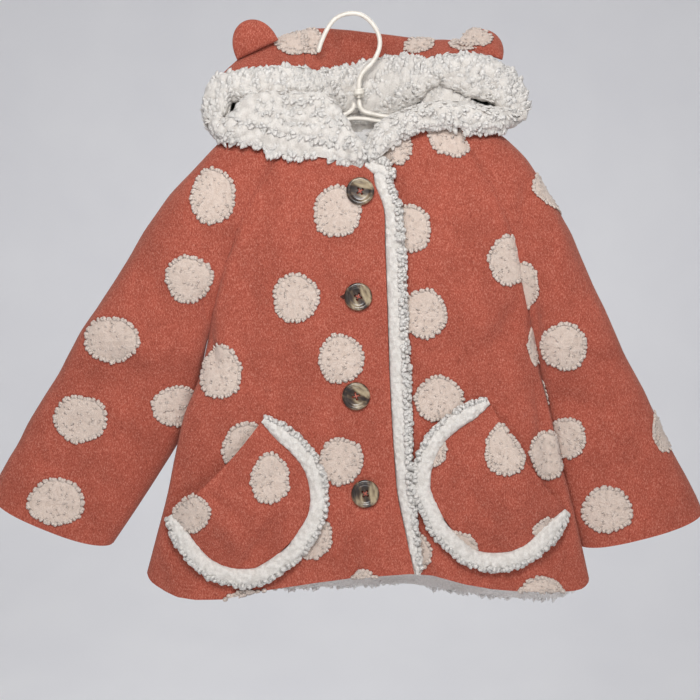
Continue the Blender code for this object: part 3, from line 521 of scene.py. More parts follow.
# %% Grid helpers
ROW_STEPS = 10
ARMPIT_FROM = 3 * ROW_STEPS
END_CROWDING = 0.62


def column(table, name):
    return np.array([getattr(row, name) for row in table], float)


def read(table, key, at, name):
    """Reads a column of a table at any value of its key column."""
    keys = column(table, key)
    order = np.argsort(keys)
    return np.interp(at, keys[order], column(table, name)[order])


def refine(grid, steps=None, spacing=None):
    """Smooth rows between the rows of a grid, and the new place of each old row."""
    grid = np.asarray(grid, float)
    padded = np.concatenate([2 * grid[:1] - grid[1:2], grid, 2 * grid[-1:] - grid[-2:-1]])
    rows, marks = [], [0]
    for i in range(len(grid) - 1):
        before, start, end, after = padded[i:i + 4]
        count = steps or max(2, round(float(np.linalg.norm(end - start, axis=-1).mean()) / spacing))
        for step in range(count):
            t = step / count
            rows.append(0.5 * (
                2 * start + (end - before) * t
                + (2 * before - 5 * start + 4 * end - after) * t * t
                + (3 * start - before - 3 * end + after) * t ** 3
            ))
        marks.append(len(rows))
    return np.array(rows + [grid[-1]]), marks


def spread(grid, count):
    """Each row's points spread along its length, closer together at its two ends."""
    steps = np.linalg.norm(np.diff(grid, axis=1), axis=2)
    share = np.linspace(0, 1, count)
    share = share - END_CROWDING * np.sin(2 * math.pi * share) / (2 * math.pi)
    fine = []
    for row, lengths in zip(grid, steps):
        along = np.concatenate([[0], np.cumsum(lengths)])
        wanted = share * along[-1]
        fine.append(np.stack([np.interp(wanted, along, row[:, k]) for k in range(3)], axis=1))
    return np.array(fine)


def grid_normals(grid):
    """Unit normals of a grid: down the rows crossed with along them."""
    normals = np.cross(np.gradient(grid, axis=0), np.gradient(grid, axis=1))
    return normals / np.maximum(np.linalg.norm(normals, axis=2, keepdims=True), 1e-9)


# %% [markdown]
# ## The body's panels
# Front and back share their edges with the sleeves along the raglan seams and
# with each other down the side folds. The upper front laps over the lower one
# by 36 mm, so one is pushed out and the other in where they overlap.

# %% Body and sleeve grids
def signed_power(value, power):
    return np.sign(value) * np.abs(value) ** power


def back_rise(number, face):
    return BACK_NECK_RISE * (1 - number / ARMPIT_ROW) if face == BACK and number < ARMPIT_ROW else 0


def body_edge(sleeve, face, fold_name):
    """The body's edge: the raglan seam, then the side fold."""
    seam = []
    for number, row in enumerate(sleeve[:ARMPIT_ROW]):
        y = row.middle_y + face * (1 - row.tube) * row.depth
        seam.append((row.inner_x, y, row.inner_z + back_rise(number, face)))
    side = [(getattr(row, fold_name), row.fold_y, row.z) for row in BODY_SIDES]
    return np.array(seam + side, float)


EDGES = {}
for face in (FRONT, BACK):
    EDGES[face, "right"] = body_edge(SLEEVE_RIGHT, face, "left_fold_x")
    EDGES[face, "left"] = body_edge(SLEEVE_LEFT, face, "right_fold_x")
    EDGES[face, "right"][-1, 2] = HEM[0].front_z
    EDGES[face, "left"][-1, 2] = HEM[-1].front_z


def edge_at(edge, z):
    """x and y of a body edge at a height."""
    upwards = edge[::-1]
    return [np.interp(z, upwards[:, 2], upwards[:, k]) for k in (0, 1)]


def body_y(x, z, face):
    """How far forward or back the body's middle surface lies at (x, z)."""
    right_x, right_y = edge_at(EDGES[face, "right"], z)
    left_x, left_y = edge_at(EDGES[face, "left"], z)
    across = np.clip((x - (right_x + left_x) / 2) / ((left_x - right_x) / 2), -1, 1)
    end_y = right_y + (left_y - right_y) * (across + 1) / 2
    arch = (1 - abs(across) ** FOLD_POWER) ** (1 / read(BODY_DEPTHS, "z", z, "roundness"))
    centre_y = read(BODY_DEPTHS, "z", z, "front_y" if face == FRONT else "back_y")
    relief = face * body_relief(x, z, face) * (1 - abs(across) ** 8)
    return end_y + (centre_y - end_y) * arch + relief


def row_height(number, x, ends, face):
    """The height of a body row at x, between its two ends."""
    (start_x, start_z), (end_x, end_z) = ends
    share = (x - start_x) / (end_x - start_x)
    straight = start_z + (end_z - start_z) * share
    if number < ARMPIT_ROW:
        curve = math.sin(math.pi * np.clip(share, 0, 1))
        if face == FRONT and x > NECK_CENTRE_X:
            curve = 1 - smooth_step((x - NECK_CENTRE_X) / NECK_LEFT_RISE)
        return straight - (FRONT_NECK_DIPS if face == FRONT else BACK_NECK_DIPS)[number] * curve
    hem = read(HEM, "x", x, "front_z" if face == FRONT else "back_z")
    side = BODY_SIDES[number - ARMPIT_ROW]
    return side.z + side.hem_share * (hem - BODY_SIDES[-1].z)


def body_grid(face, columns, span):
    """Rows of points from the neck to the hem; span gives a row's two angles."""
    right, left = EDGES[face, "right"], EDGES[face, "left"]
    grid = []
    for number in range(len(right)):
        ends = (right[number, [0, 2]], left[number, [0, 2]])
        middle, half = (ends[0][0] + ends[1][0]) / 2, (ends[1][0] - ends[0][0]) / 2
        first, last = span(middle, half, (ends[0][1] + ends[1][1]) / 2)
        row = []
        for angle in np.linspace(first, last, columns):
            x = middle - half * signed_power(math.cos(angle), 2 / FOLD_POWER)
            z = row_height(number, x, ends, face)
            row.append((x, body_y(x, z, face), z))
        for place, angle, edge in ((0, first, right), (-1, last, left)):
            if angle in (0.0, math.pi):
                row[place] = tuple(edge[number])
        grid.append(row)
    return np.array(grid, float)


def angle_of(x, middle, half):
    return math.acos(-signed_power(np.clip((x - middle) / half, -1, 1), FOLD_POWER / 2))


def upper_front_span(middle, half, z):
    return 0.0, angle_of(read(FRONT_EDGE, "z", z, "x"), middle, half)


def lower_front_span(middle, half, z):
    return angle_of(read(FRONT_EDGE, "z", z, "x") - LAP_WIDTH, middle, half), math.pi


def back_span(middle, half, z):
    return 0.0, math.pi


def lapped(grid, upper):
    """The fronts part where they overlap: the upper one outwards, the lower inwards."""
    edge = read(FRONT_EDGE, "z", grid[..., 2], "x")
    if upper:
        shift = -LAP_OUT * smooth_step((grid[..., 0] - (edge - LAP_WIDTH - LAP_FADE)) / LAP_FADE)
    else:
        shift = LAP_IN * smooth_step(((edge + LAP_REACH) - grid[..., 0]) / LAP_STEP)
    moved = grid.copy()
    moved[..., 1] += shift
    return moved


def sleeve_grid(sleeve, half_columns):
    """Rows round a sleeve, from the front seam over the outer fold to the back seam."""
    grid = []
    for number, row in enumerate(sleeve):
        outer = np.array([row.outer_x, row.outer_z], float)
        down = np.array([row.inner_z - row.outer_z, row.outer_x - row.inner_x], float)
        down *= -np.sign(down[1]) / np.linalg.norm(down)
        points = []
        for step in range(-half_columns, half_columns + 1):
            face = FRONT if step < 0 else BACK
            share = abs(step) / half_columns
            whole, quarter, power = math.pi * share, math.pi / 2 * share, 2 / FOLD_POWER
            across = row.tube * (1 - signed_power(math.cos(whole), power)) / 2
            across += (1 - row.tube) * (1 - max(math.cos(quarter), 0) ** power)
            depth = row.tube * max(math.sin(whole), 0) ** power
            depth += (1 - row.tube) * math.sin(quarter) ** power
            if share == 1:
                across, depth = 1.0, 1 - row.tube
            inner = np.array([row.inner_x, row.inner_z + back_rise(number, face)], float)
            x, z = outer + (inner - outer) * across + down * row.sag * max(math.sin(whole), 0)
            points.append((x, row.middle_y + face * row.depth * depth, z))
        grid.append(points)
    return np.array(grid, float)


def panel_grids():
    """The fine grid of every panel of the body and sleeves."""
    coarse = {
        "front_right": (body_grid(FRONT, 220, upper_front_span), 92),
        "front_left": (body_grid(FRONT, 220, lower_front_span), 92),
        "back": (body_grid(BACK, 300, back_span)[:, ::-1], 124),
        "sleeve_right": (sleeve_grid(SLEEVE_RIGHT, 120)[:, ::-1], 100),
        "sleeve_left": (sleeve_grid(SLEEVE_LEFT, 120), 100),
    }
    fine = {}
    for name, (grid, count) in coarse.items():
        smooth = refine(spread(grid, count), steps=ROW_STEPS)[0]
        fine[name] = lapped(smooth, name == "front_right") if name.startswith("front") else smooth
    return fine


SEAM_SIDES = {
    "front_right": ["columns_first"], "front_left": ["columns_last"],
    "back": ["columns_first", "columns_last"],
    "sleeve_right": ["columns_first", "columns_last"],
    "sleeve_left": ["columns_first", "columns_last"],
}


def seam_relief(grid, sides):
    """A seam pulls the cloth in and its turned-in layers lift it beside; also how far it is."""
    along = np.cumsum(np.linalg.norm(np.diff(grid, axis=1, prepend=grid[:, :1]), axis=2), axis=1)
    ways = {"columns_first": along, "columns_last": along[:, -1:] - along}
    away = np.min([ways[side] for side in sides], axis=0)
    return 0.5 * np.exp(-(((away - 6) / 3.0) ** 2)) - 1.3 * np.exp(-((away / 2.2) ** 2)), away


PANELS = panel_grids()
NORMALS = {name: grid_normals(grid) for name, grid in PANELS.items()}
for name, grid in PANELS.items():
    lift = crease_relief(grid, NORMALS[name], CREASES)
    lift += 2.6 * waver(grid, 60.0, 1) + 0.9 * waver(grid, 24.0, 2)
    seam, away = seam_relief(grid, SEAM_SIDES[name])
    free = (1 - np.exp(-((away / 12) ** 2)))[..., None] * (1, 0, 1) + (0, 1, 0)
    PANELS[name] = grid + NORMALS[name] * free * lift[..., None]
    PANELS[name][..., 1] += NORMALS[name][..., 1] * seam
    NORMALS[name] = grid_normals(PANELS[name])
print("panel grids:", {name: grid.shape[:2] for name, grid in PANELS.items()})

# %% [markdown]
# ## Cloth as a wall
# Each panel becomes a closed wall: its grid pushed out by half the cloth's
# thickness, pushed in by the other half, and joined round the rim. Solidify
# would do the same, but here the seam edges are also drawn back a little, so
# that neighbouring panels leave the fine dark line that a real seam shows.

# %% Walls
def riding(made, node=None):
    """Puts a piece on the coat's body and, where it has one, in its node's place."""
    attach(made, "root")
    if node:
        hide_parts(node)
        pieces[node] = made
    return made


def finished(name, points, faces, material, node=None, tip=None, sharp=50):
    """A mesh piece from millimetre points; tip sets the pile's painted shade and light, sharp is in
    degrees.
    """
    mesh = bpy.data.meshes.new(name)
    mesh.from_pydata((np.asarray(points, float).reshape(-1, 3) * MM).tolist(), [], faces)
    mesh.materials.append(material)
    mesh.shade_smooth()
    mesh.set_sharp_from_angle(angle=math.radians(sharp))
    if tip is not None:
        layer = mesh.attributes.new("tip", "FLOAT", "POINT")
        layer.data.foreach_set("value", np.asarray(tip, np.float32).ravel())
    return riding(in_scene(name, mesh), node)


def inset(grid, sides):
    """Draws chosen edges ('first'/'last' rows or columns) back from their seams."""
    moved = grid.copy()
    for side in sides:
        axis, place = side.split("_")
        view = moved if axis == "rows" else moved.swapaxes(0, 1)
        edge, inner = (0, 1) if place == "first" else (-1, -2)
        step = view[inner] - view[edge]
        back = np.full(len(step), SEAM_INSET)
        if axis == "columns":
            back[ARMPIT_FROM:] = -SIDE_OVERLAP
        length = np.maximum(np.linalg.norm(step, axis=1, keepdims=True), 1e-9)
        view[edge] += step / length * back[:, None]
    return moved


def grid_faces(rows, columns):
    """A grid's quads, and the points round its rim in order."""
    index = np.arange(rows * columns).reshape(rows, columns)
    quads = np.stack([index[:-1, :-1], index[1:, :-1], index[1:, 1:], index[:-1, 1:]], -1)
    ring = np.concatenate([index[0], index[1:, -1], index[-1, -2::-1], index[-2:0:-1, 0]])
    return quads.reshape(-1, 4), ring


def shell(node, ending, grid, normals, thickness, material, lift=None, tip=None):
    """A closed wall round a grid in a node's place; lift raises its outer face point by point."""
    rows, columns = grid.shape[:2]
    count = rows * columns
    top = np.zeros((rows, columns)) if lift is None else lift
    outer = grid + normals * (thickness / 2 + top)[..., None]
    inner = grid - normals * thickness / 2
    quads, ring = grid_faces(rows, columns)
    ahead = np.roll(ring, -1)
    rim = np.stack([ring, ahead, ahead + count, ring + count], -1)
    faces = np.concatenate([quads, quads[:, ::-1] + count, rim]).tolist()
    # The inner face gets half the tip value: painted shade on the wall's back.
    if tip is not None:
        tip = np.concatenate([tip.ravel(), tip.ravel() * 0.5])
    points = np.concatenate([outer.reshape(-1, 3), inner.reshape(-1, 3)])
    middles[node] = grid
    return finished(node + ending, points, faces, material, node, tip)


def face_tree(grid, normals, lift):
    """A search tree of a panel's outer face."""
    points = (grid + normals * lift).reshape(-1, 3)
    quads = grid_faces(*grid.shape[:2])[0]
    return BVHTree.FromPolygons([Vector(p) for p in points], quads.tolist())


def cloth_panel(node, grid, normals):
    """A wall of the outer cloth, and the search tree of its face."""
    shell(node, "_cloth", grid, normals, CLOTH, FLEECE)
    trees[node] = face_tree(grid, normals, CLOTH / 2)


pieces, trees, middles = {}, {}, {}
for name, sides in SEAM_SIDES.items():
    cloth_panel(name, inset(PANELS[name], sides), NORMALS[name])
print("cloth walls:", len(pieces))

# %% [markdown]
# ## Pile that stands up
# A bump map can't change an outline, and pile is mostly outline. So the base
# is pushed out in rounded clumps, by the distance to scattered cell centres,
# and small curved locks are set all over it. Each lock is a flattened, blunt
# petal that leaves its root along the cloth's normal and bends with the nap.

# %% Pile helpers
def clumps(points, size_mm):
    """Rounded clumps, 1 on top and 0 between, at every point of an array."""
    flat = points.reshape(-1, 3) / size_mm
    nearest = np.array([noise.voronoi(p)[0][0] for p in flat]).reshape(points.shape[:-1])
    return 1 - np.clip(nearest / 0.72, 0, 1) ** 2


def pile_panel(node, grid, normals, height, material, size_mm=7.0):
    """A lining: a closed wall whose face stands up in clumps that fade at its rim."""
    rows, columns = grid.shape[:2]
    clump = clumps(grid, size_mm)
    edge = np.minimum.outer(
        np.minimum(np.arange(rows), np.arange(rows)[::-1]),
        np.minimum(np.arange(columns), np.arange(columns)[::-1]),
    )
    fade = np.clip(edge / 2.0, 0.25, 1)
    lift = height * fade * (clump + 0.35 * waver(grid, 2.4, 5))
    # Painted shade and light: lower between the clumps, higher on their tops.
    tip = np.clip(0.2 + 0.6 * clump + 0.2 * waver(grid, 3.0, 6), 0, 1)
    shell(node, "_pile", grid, normals, PILE_BASE, material, lift, tip)


LockShape = namedtuple("LockShape", "sides flat rise reach girth tips")
# The tips column gives each ring's share of painted light, from a shaded root to a lit tip.
PETAL = LockShape(
    5, 0.3, [-0.12, 0.17, 0.25, 0.22], [0.0, 0.32, 0.72, 1.0], [0.6, 1.0, 0.66], [0.45, 0.8, 0.95, 1.0])
EDGE_PETAL = LockShape(
    4, 0.5, [-0.12, 0.20, 0.22, 0.06], [0.0, 0.4, 0.82, 1.0], [0.7, 1.0, 0.8], [0.6, 0.85, 0.95, 1.0])
RIM_PETAL = LockShape(
    4, 0.42, [-0.05, 0.14, 0.14, 0.04], [0.0, 0.45, 0.84, 1.0], [0.8, 1.0, 0.72], [0.75, 0.9, 0.95, 1.0])
SHORT_TUFT = LockShape(3, 0.5, [-0.1, 0.24, 0.18], [0.0, 0.55, 1.0], [0.8, 0.9], [0.55, 0.85, 1.0])
LOCK_GAP, HEM_GAP, ROLL_GAP = 3.1, 2.8, 2.5
LIP_LOCK, FLAP_LOCK, NECK_LOCK = (8.6, 6.2), (8.2, 6.2), (7.0, 5.6)
HEM_LOCK, ROLL_LOCK = (5.4, 4.6), (4.8, 4.8)
LIP_CLUMPS, LINING_CLUMPS = 2.4, 1.2
DOWN = (0, 0, -1)


def ring_quads(rings, count):
    """Quads between closed rings of count points each."""
    round_one = [(k, (k + 1) % count) for k in range(count)]
    return [
        (start + k, start + ahead, start + count + ahead, start + count + k)
        for start in range(0, (rings - 1) * count, count) for k, ahead in round_one
    ]


def scatter(grid, normals, gap, chance, keep=None):
    """Random places on a grid, one for each gap x gap mm, with their normals."""
    a, b, c = grid[:-1, :-1], grid[1:, :-1], grid[:-1, 1:]
    area = np.linalg.norm(np.cross(b - a, c - a), axis=2)
    if keep is not None:
        area = area * keep[:-1, :-1]
    count = int(area.sum() / gap ** 2)
    cells = chance.choice(area.size, count, p=(area / area.sum()).ravel())
    rows, columns = np.divmod(cells, area.shape[1])
    s, t = chance.random((2, count, 1))
    origin = grid[rows, columns]
    places = origin + (grid[rows + 1, columns] - origin) * s + (grid[rows, columns + 1] - origin) * t
    return places, normals[rows, columns]


def locks(name, places, normals, nap, size, material, chance, spread=0.8, shape=PETAL, vary=0.3):
    """Curved locks of pile in one mesh: nap is the way they lean, size their length and width."""
    count = len(places)
    lean = np.broadcast_to(np.asarray(nap, float), places.shape)
    lean = lean - normals * np.sum(lean * normals, axis=1, keepdims=True)
    lean = lean / np.maximum(np.linalg.norm(lean, axis=1, keepdims=True), 1e-9)
    side = np.cross(normals, lean)
    turn = (1.3 * waver(places, 16.0, 12)[:, None] + chance.normal(0, 0.5, (count, 1))) * spread
    lean, side = lean * np.cos(turn) + side * np.sin(turn), side * np.cos(turn) - lean * np.sin(turn)
    long = size[0] * chance.uniform(1 - vary, 1 + vary, (count, 1))
    wide = size[1] / 2 * chance.uniform(1 - vary, 1 + vary, (count, 1))
    rise = chance.uniform(0.7, 1.35, (count, 1))
    n, rings = shape.sides, len(shape.girth)
    points = []
    for ring in range(rings):
        middle = places + long * (normals * shape.rise[ring] * rise + lean * shape.reach[ring])
        for angle in np.arange(n) * 2 * math.pi / n:
            out = side * math.cos(angle) + normals * shape.flat * math.sin(angle)
            points.append(middle + out * wide * shape.girth[ring])
    points.append(places + long * (normals * shape.rise[-1] * rise + lean * shape.reach[-1]))
    points = np.stack(points, axis=1)
    ends = [((rings - 1) * n + k, (rings - 1) * n + (k + 1) % n, rings * n) for k in range(n)]
    offsets = np.arange(count) * (rings * n + 1)
    faces = []
    for group in (ring_quads(rings, n), ends, [tuple(range(n))[::-1]]):
        each = np.array(group)
        faces += (each[None] + offsets[:, None, None]).reshape(-1, each.shape[1]).tolist()
    # Painted shade at each lock's root rising to painted light at its tip, with a random spread.
    tip = np.concatenate([np.repeat(shape.tips[:-1], n), shape.tips[-1:]])
    tip = tip[None] * chance.uniform(0.75, 1.05, (count, 1))
    pieces[name] = finished(name, points, faces, material, tip=tip, sharp=180)


def plant(name, grid, normals, gap, seed, nap, size, material, keep=None, spread=0.8):
    """Locks of pile all over a grid."""
    chance = np.random.default_rng(seed)
    places, ways = scatter(grid, normals, gap, chance, keep)
    locks(name, places, ways, nap, size, material, chance, spread)


# %% [markdown]
# ## Linings that show
# The back's lining shows below the front hem and in the neck, and the sleeves'
# in the cuffs. They follow their panels, one cloth's depth inside, with the
# pile facing in.

# %% Back and sleeve linings
def sunk(name, rows=slice(None), columns=slice(None)):
    """A copy of a panel, moved inside it, with its pile side's normals."""
    grid = (PANELS[name] - NORMALS[name] * LINING_DEPTH)[rows, columns]
    return grid, -grid_normals(grid)


def hem_fringe(name, lining, normals, seed, rows=slice(-9, None)):
    """Locks along the lowest rows of a lining, hanging at the hem."""
    plant(name, lining[rows], normals[rows], HEM_GAP, seed, DOWN, HEM_LOCK, LIT_LINING_PILE)


grid, normals = sunk("back", columns=slice(2, -2))
near_hem = smooth_step((np.arange(len(grid)) - len(grid) + 16) / 15)[:, None]
hidden = smooth_step((-55 - grid[..., 0]) / 25) * near_hem
grid[..., 2] += 6.0 * hidden
pile_panel("lining_back", grid[:, ::2], normals[:, ::2], LINING_CLUMPS, LIT_LINING_PILE)
hem_fringe("lining_back_locks", grid, normals, 11)
neck = (slice(0, 2 * ROW_STEPS), slice(40, 84))
plant("lining_back_neck_locks", grid[neck], normals[neck], 3.2, 14, DOWN, NECK_LOCK, SHERPA)
for number, side in enumerate(("right", "left")):
    name = "lining_sleeve_" + side
    first = (ARMPIT_ROW + 1) * ROW_STEPS
    grid, normals = sunk("sleeve_" + side, rows=slice(first, None), columns=slice(1, -1))
    pile_panel(name, grid[::2, ::2], normals[::2, ::2], LINING_CLUMPS, LIT_LINING_PILE)
    hem_fringe(name + "_locks", grid, normals, 12 + number, slice(-7, -3))
print("linings:", len([n for n in pieces if n.startswith("lining")]))

# %% [markdown]
# ## The hood
# Hung up, the hood folds flat: two sides and a crown strip outside, and the
# pile lining inside, whose edges turn out as one fat upper lip and two lower
# flaps. Its sections run along x, each a loop from the lip over the crown and
# down behind to the neck.

# %% Tables of the hood
HoodRow = namedtuple("HoodRow", "x lip_top ridge lip_bottom floor lip_y back_y floor_y roll_top roll_y")
HOOD_ROWS = [HoodRow(*row) for row in [
    (-144, -82, -80, -104, -93, -12, 28, -8, -100, -11),
    (-138, -70, -70, -113, -99, -14.5, 34, -12, -101, -15),
    (-132, -65, -64, -117, -105.5, -16.5, 39, -15.5, -101, -18),
    (-126, -63, -57, -104, -106, -18, 43, -18, -110, -19),
    (-119, -61, -49, -85, -106.5, -19.5, 47, -19, -110, -20),
    (-100, -58.5, -34, -86, -107, -22, 56, -20, -103, -23),
    (-65, -56, -18, -84, -102, -22, 64, -8, -98, -11),
    (-46, -57, -12, -84, -103, -17, 66, 12, -99, 8),
    (-30, -59, -9, -85, -104, -8, 68, 17, -100, 13),
    (0, -52, -10, -94, -106, 12, 70, 20, -102, 16),
    (30, -45, -14, -100, -106, 12, 70, 20, -102, 16),
    (60, -43.5, -18, -88, -101, -4, 68, 18, -95, 8),
    (82, -49, -21, -72, -96, -16, 66, 14, -73, -6),
    (92, -45, -22, -69, -95, -20, 64, 6, -70, -9),
    (115, -44, -24.5, -78, -98, -22, 60, -8, -85, -12),
    (132, -45.5, -31, -83, -101, -22, 54, -16, -96, -12),
    (148, -51.5, -46, -91, -103.5, -19.5, 49, -16, -100, -13),
    (155, -55, -53, -109, -104, -17.5, 45.5, -16, -100, -15),
    (162, -61, -60, -108, -98, -15, 41, -13.5, -99.5, -15),
    (169, -70, -69, -101, -93, -12.5, 36, -11, -99, -13),
    (175, -80, -78, -94, -87, -10, 30, -8, -98, -11),
]]
HOOD_SEAM_ROWS = (7, 12)
FlapRow = namedtuple("FlapRow", "x top bottom reach y")
FLAP_RIGHT = [FlapRow(*row) for row in [
    (-139, -107, -113, 0.3, -18), (-133, -106, -120, 0.5, -23),
    (-125, -108, -125.5, 0.6, -27), (-116, -103, -128, 0.7, -30),
    (-106, -90, -130, 0.8, -31), (-92, -84, -132, 0.8, -31),
    (-80, -82.5, -137, 0.8, -31), (-56, -83, -142.5, 0.6, -31),
    (-42, -84, -142, 0.5, -31), (-25, -85, -144.5, 0.5, -31),
    (-14, -97, -146.5, 0.3, -31), (-4, -112, -149, 0.2, -31),
    (5, -126, -150, 0.1, -31), (14, -137, -150, 0.05, -31),
]]
FLAP_LEFT = [FlapRow(*row) for row in [
    (161, -100, -107, 0.3, -19), (154, -97, -113, 0.5, -24),
    (146, -98, -116.5, 0.6, -28), (130, -96, -117.5, 0.7, -31),
    (116, -93.5, -117, 0.6, -31), (106, -92.5, -113.5, 0.5, -31),
    (90, -92, -113, 0.4, -31), (74, -95, -114.5, 0.3, -31),
    (59, -99, -119, 0.3, -31), (47, -103, -127, 0.3, -31),
    (34, -110, -139, 0.2, -31), (26, -118, -146, 0.1, -31),
    (18, -132, -149, 0.05, -31),
]]
FLAP_GROOVES = [Fold(*row) for row in [
    (FRONT, -107, -112, -59, -124, 4, -4.0), (FRONT, -62, -124, -14, -134, 4, -3.5),
    (FRONT, -108, -99, -20, -104, 3, -2.2), (FRONT, -88, -91, -24, -94, 3, -1.6),
    (FRONT, -100, -106, -16, -115, 3, -1.8),
]]

# %% Hood grids
def hood_sections():
    """The hood's outer cloth and its lining, section by section along x."""
    outer, lining = [], []
    for x, lip_top, ridge, lip_bottom, floor, lip_y, back_y, floor_y, roll_top, roll_y in HOOD_ROWS:
        height, lip = ridge - floor, lip_top - lip_bottom
        ridge_y = lip_y + 0.55 * (back_y - lip_y)
        outer.append([(x, y, z) for y, z in (
            (lip_y + 19, lip_top),
            ((lip_y + 19 + ridge_y) / 2, (lip_top + ridge) / 2 + 3),
            (ridge_y, ridge),
            (back_y - 0.14 * (back_y - ridge_y), ridge - 0.13 * height),
            (back_y, ridge - 0.5 * height),
            (back_y - 5, floor + 0.18 * height),
            (back_y - 18, floor),
            ((back_y - 18 + floor_y) / 2, floor - 1),
            (floor_y, floor),
        )])
        lining.append([(x, y, z) for y, z in (
            (lip_y + 12, lip_top - 1),
            (lip_y + 4, lip_top - 0.5),
            (lip_y, lip_top - 0.3 * lip),
            (lip_y + 1, lip_top - 0.72 * lip),
            (lip_y + 7, lip_bottom),
            (lip_y + 15, lip_bottom + 0.1 * lip),
            (ridge_y - 2, min(ridge - 0.22 * height, lip_top - 5)),
            (back_y - 8, ridge - 0.48 * height),
            (back_y - 13, floor + 0.28 * height),
            (back_y - 24, floor + 5.5),
            ((back_y - 24 + floor_y) / 2, roll_top + 0.5),
            (roll_y + 5, roll_top),
            (roll_y, roll_top - 6),
            (roll_y - 1, floor - 9),
        )])
    return np.array(outer, float), np.array(lining, float)


def both_ways(grid, spacing):
    """Refines a coarse grid down its rows and along them."""
    fine, marks = refine(grid, spacing=spacing)
    across = refine(fine.swapaxes(0, 1), spacing=spacing)[0]
    return across.swapaxes(0, 1), marks


def turned(grid, outwards):
    """A grid's normals, turned to the side of a given direction, and the grid to match."""
    normals = grid_normals(grid)
    if np.sum(normals * np.array(outwards, float)) < 0:
        grid = grid[:, ::-1]
        normals = grid_normals(grid)
    return grid, normals


hood_outer, hood_inner = hood_sections()
outer, marks = both_ways(hood_outer, 3.0)
outer, outer_normals = turned(outer, (0, 1, 0))
outer = outer + outer_normals * (1.0 * waver(outer, 40.0, 3) + 0.4 * waver(outer, 16.0, 4))[..., None]
outer_normals = grid_normals(outer)
first, last = (marks[i] for i in HOOD_SEAM_ROWS)
HOOD_PANELS = {
    "hood_side_right": (0, first, ["rows_last"]),
    "hood_centre": (first, last, ["rows_first", "rows_last"]),
    "hood_side_left": (last, len(outer) - 1, ["rows_first"]),
}
for name, (start, end, sides) in HOOD_PANELS.items():
    cloth_panel(name, inset(outer[start:end + 1], sides), outer_normals[start:end + 1])

lip, lip_normals = turned(both_ways(hood_inner, 2.4)[0], (0, -1, 0))
pile_panel("hood_lining", lip, lip_normals, LIP_CLUMPS, SHERPA, 8.0)
near = (lip[..., 1] < 26) + 0.1
plant("hood_lining_locks", lip, lip_normals, LOCK_GAP, 21, (0.1, -0.2, 1), LIP_LOCK, SHERPA, near, 0.9)

for number, (side, table) in enumerate((("right", FLAP_RIGHT), ("left", FLAP_LEFT))):
    grid = []
    for row in table:
        fall = row.top - row.bottom
        grid.append([
            (row.x, row.y + 3, row.bottom),
            (row.x, row.y, row.bottom + 0.35 * fall),
            (row.x, row.y, row.bottom + 0.75 * fall),
            (row.x, row.y + 4, row.top),
            (row.x, row.y + 6 + 12 * row.reach, row.top + 1.5),
            (row.x, row.y + 7 + 30 * row.reach, row.top + 0.5),
        ])
    name = "hood_lining_side_" + side
    flap, ways = turned(both_ways(grid, 2.0)[0], (0, -1, 0))
    flap = flap + ways * crease_relief(flap, ways, FLAP_GROOVES)[..., None]
    pile_panel(name, flap, ways, LIP_CLUMPS, SHERPA)
    nap = (-0.5 if side == "right" else 0.3, -0.2, -1)
    plant(name + "_locks", flap, ways, LOCK_GAP, 31 + number, nap, FLAP_LOCK, SHERPA)
print("hood:", outer.shape[:2], "lip:", lip.shape[:2])

# %% [markdown]
# ## Ears
# Each ear is two rounded pieces of the outer cloth sewn together and turned,
# so it is thin at its rim and a little plump inside. A lens of rings, each a
# smaller copy of the outline, gives that, closed front and back.

# %% Ears
Ear = namedtuple("Ear", "side foot_x foot_z foot_y along_x along_z up_x up_y up_z")
EARS = [
    Ear("right", -92.5, -33.5, 8, 0.902, 0.431, -0.431, 0.0, 0.902),
    Ear("left", 131, -36.0, 8, 0.953, -0.302, 0.24, 0.58, 0.78),
]
EAR_HALF_WIDTH = 23.0
EAR_HEIGHT = 32.0
EAR_PLUMP = 4.4


def edited(mesh, *steps):
    """Runs steps, each a function of a bmesh, on a mesh."""
    shaped = bmesh.new()
    shaped.from_mesh(mesh)
    for step in steps:
        step(shaped)
    shaped.to_mesh(mesh)
    shaped.free()


def faces_out(shaped):
    bmesh.ops.recalc_face_normals(shaped, faces=shaped.faces)


def build_ear(ear):
    """A plump lens of rings, each a smaller copy of the ear's outline."""
    foot = np.array([ear.foot_x, ear.foot_y, ear.foot_z], float)
    along = np.array([ear.along_x, 0, ear.along_z])
    up = np.array([ear.up_x, ear.up_y, ear.up_z])
    out = np.cross(up, along)
    angles = np.linspace(0, math.pi, 49)
    arc = [(-math.cos(a) * EAR_HALF_WIDTH, math.sin(a) ** 0.87 * EAR_HEIGHT) for a in angles]
    base = [(x, 0.0) for x in np.linspace(EAR_HALF_WIDTH, -EAR_HALF_WIDTH, 17)[1:-1]]
    outline = np.array(arc + base)
    middle = np.array([0, EAR_HEIGHT * 0.42])
    shares = [0.08, 0.25, 0.45, 0.62, 0.76, 0.87, 0.94, 0.985]
    rings = [(s, 1) for s in shares] + [(1.0, 0)] + [(s, -1) for s in reversed(shares)]
    grid = []
    for share, face in rings:
        plump = face * EAR_PLUMP * (1 - share ** 3) ** 0.55
        flat = middle + (outline - middle) * share
        grid.append([foot + along * s + up * t + out * plump for s, t in flat])
    points = np.array(grid).reshape(-1, 3)
    points = points + out * (0.7 * waver(points, 14.0, 8))[:, None]
    count, last = len(outline), (len(rings) - 1) * len(outline)
    faces = ring_quads(len(rings), count)
    faces += [tuple(range(count))[::-1], tuple(range(last, last + count))]
    name = "ear_" + ear.side
    made = finished(name + "_cloth", points, faces, FLEECE, name)
    edited(made.data, faces_out)
    corners = [v.co / MM for v in made.data.vertices]
    trees[name] = BVHTree.FromPolygons(corners, [tuple(p.vertices) for p in made.data.polygons])


for ear in EARS:
    build_ear(ear)

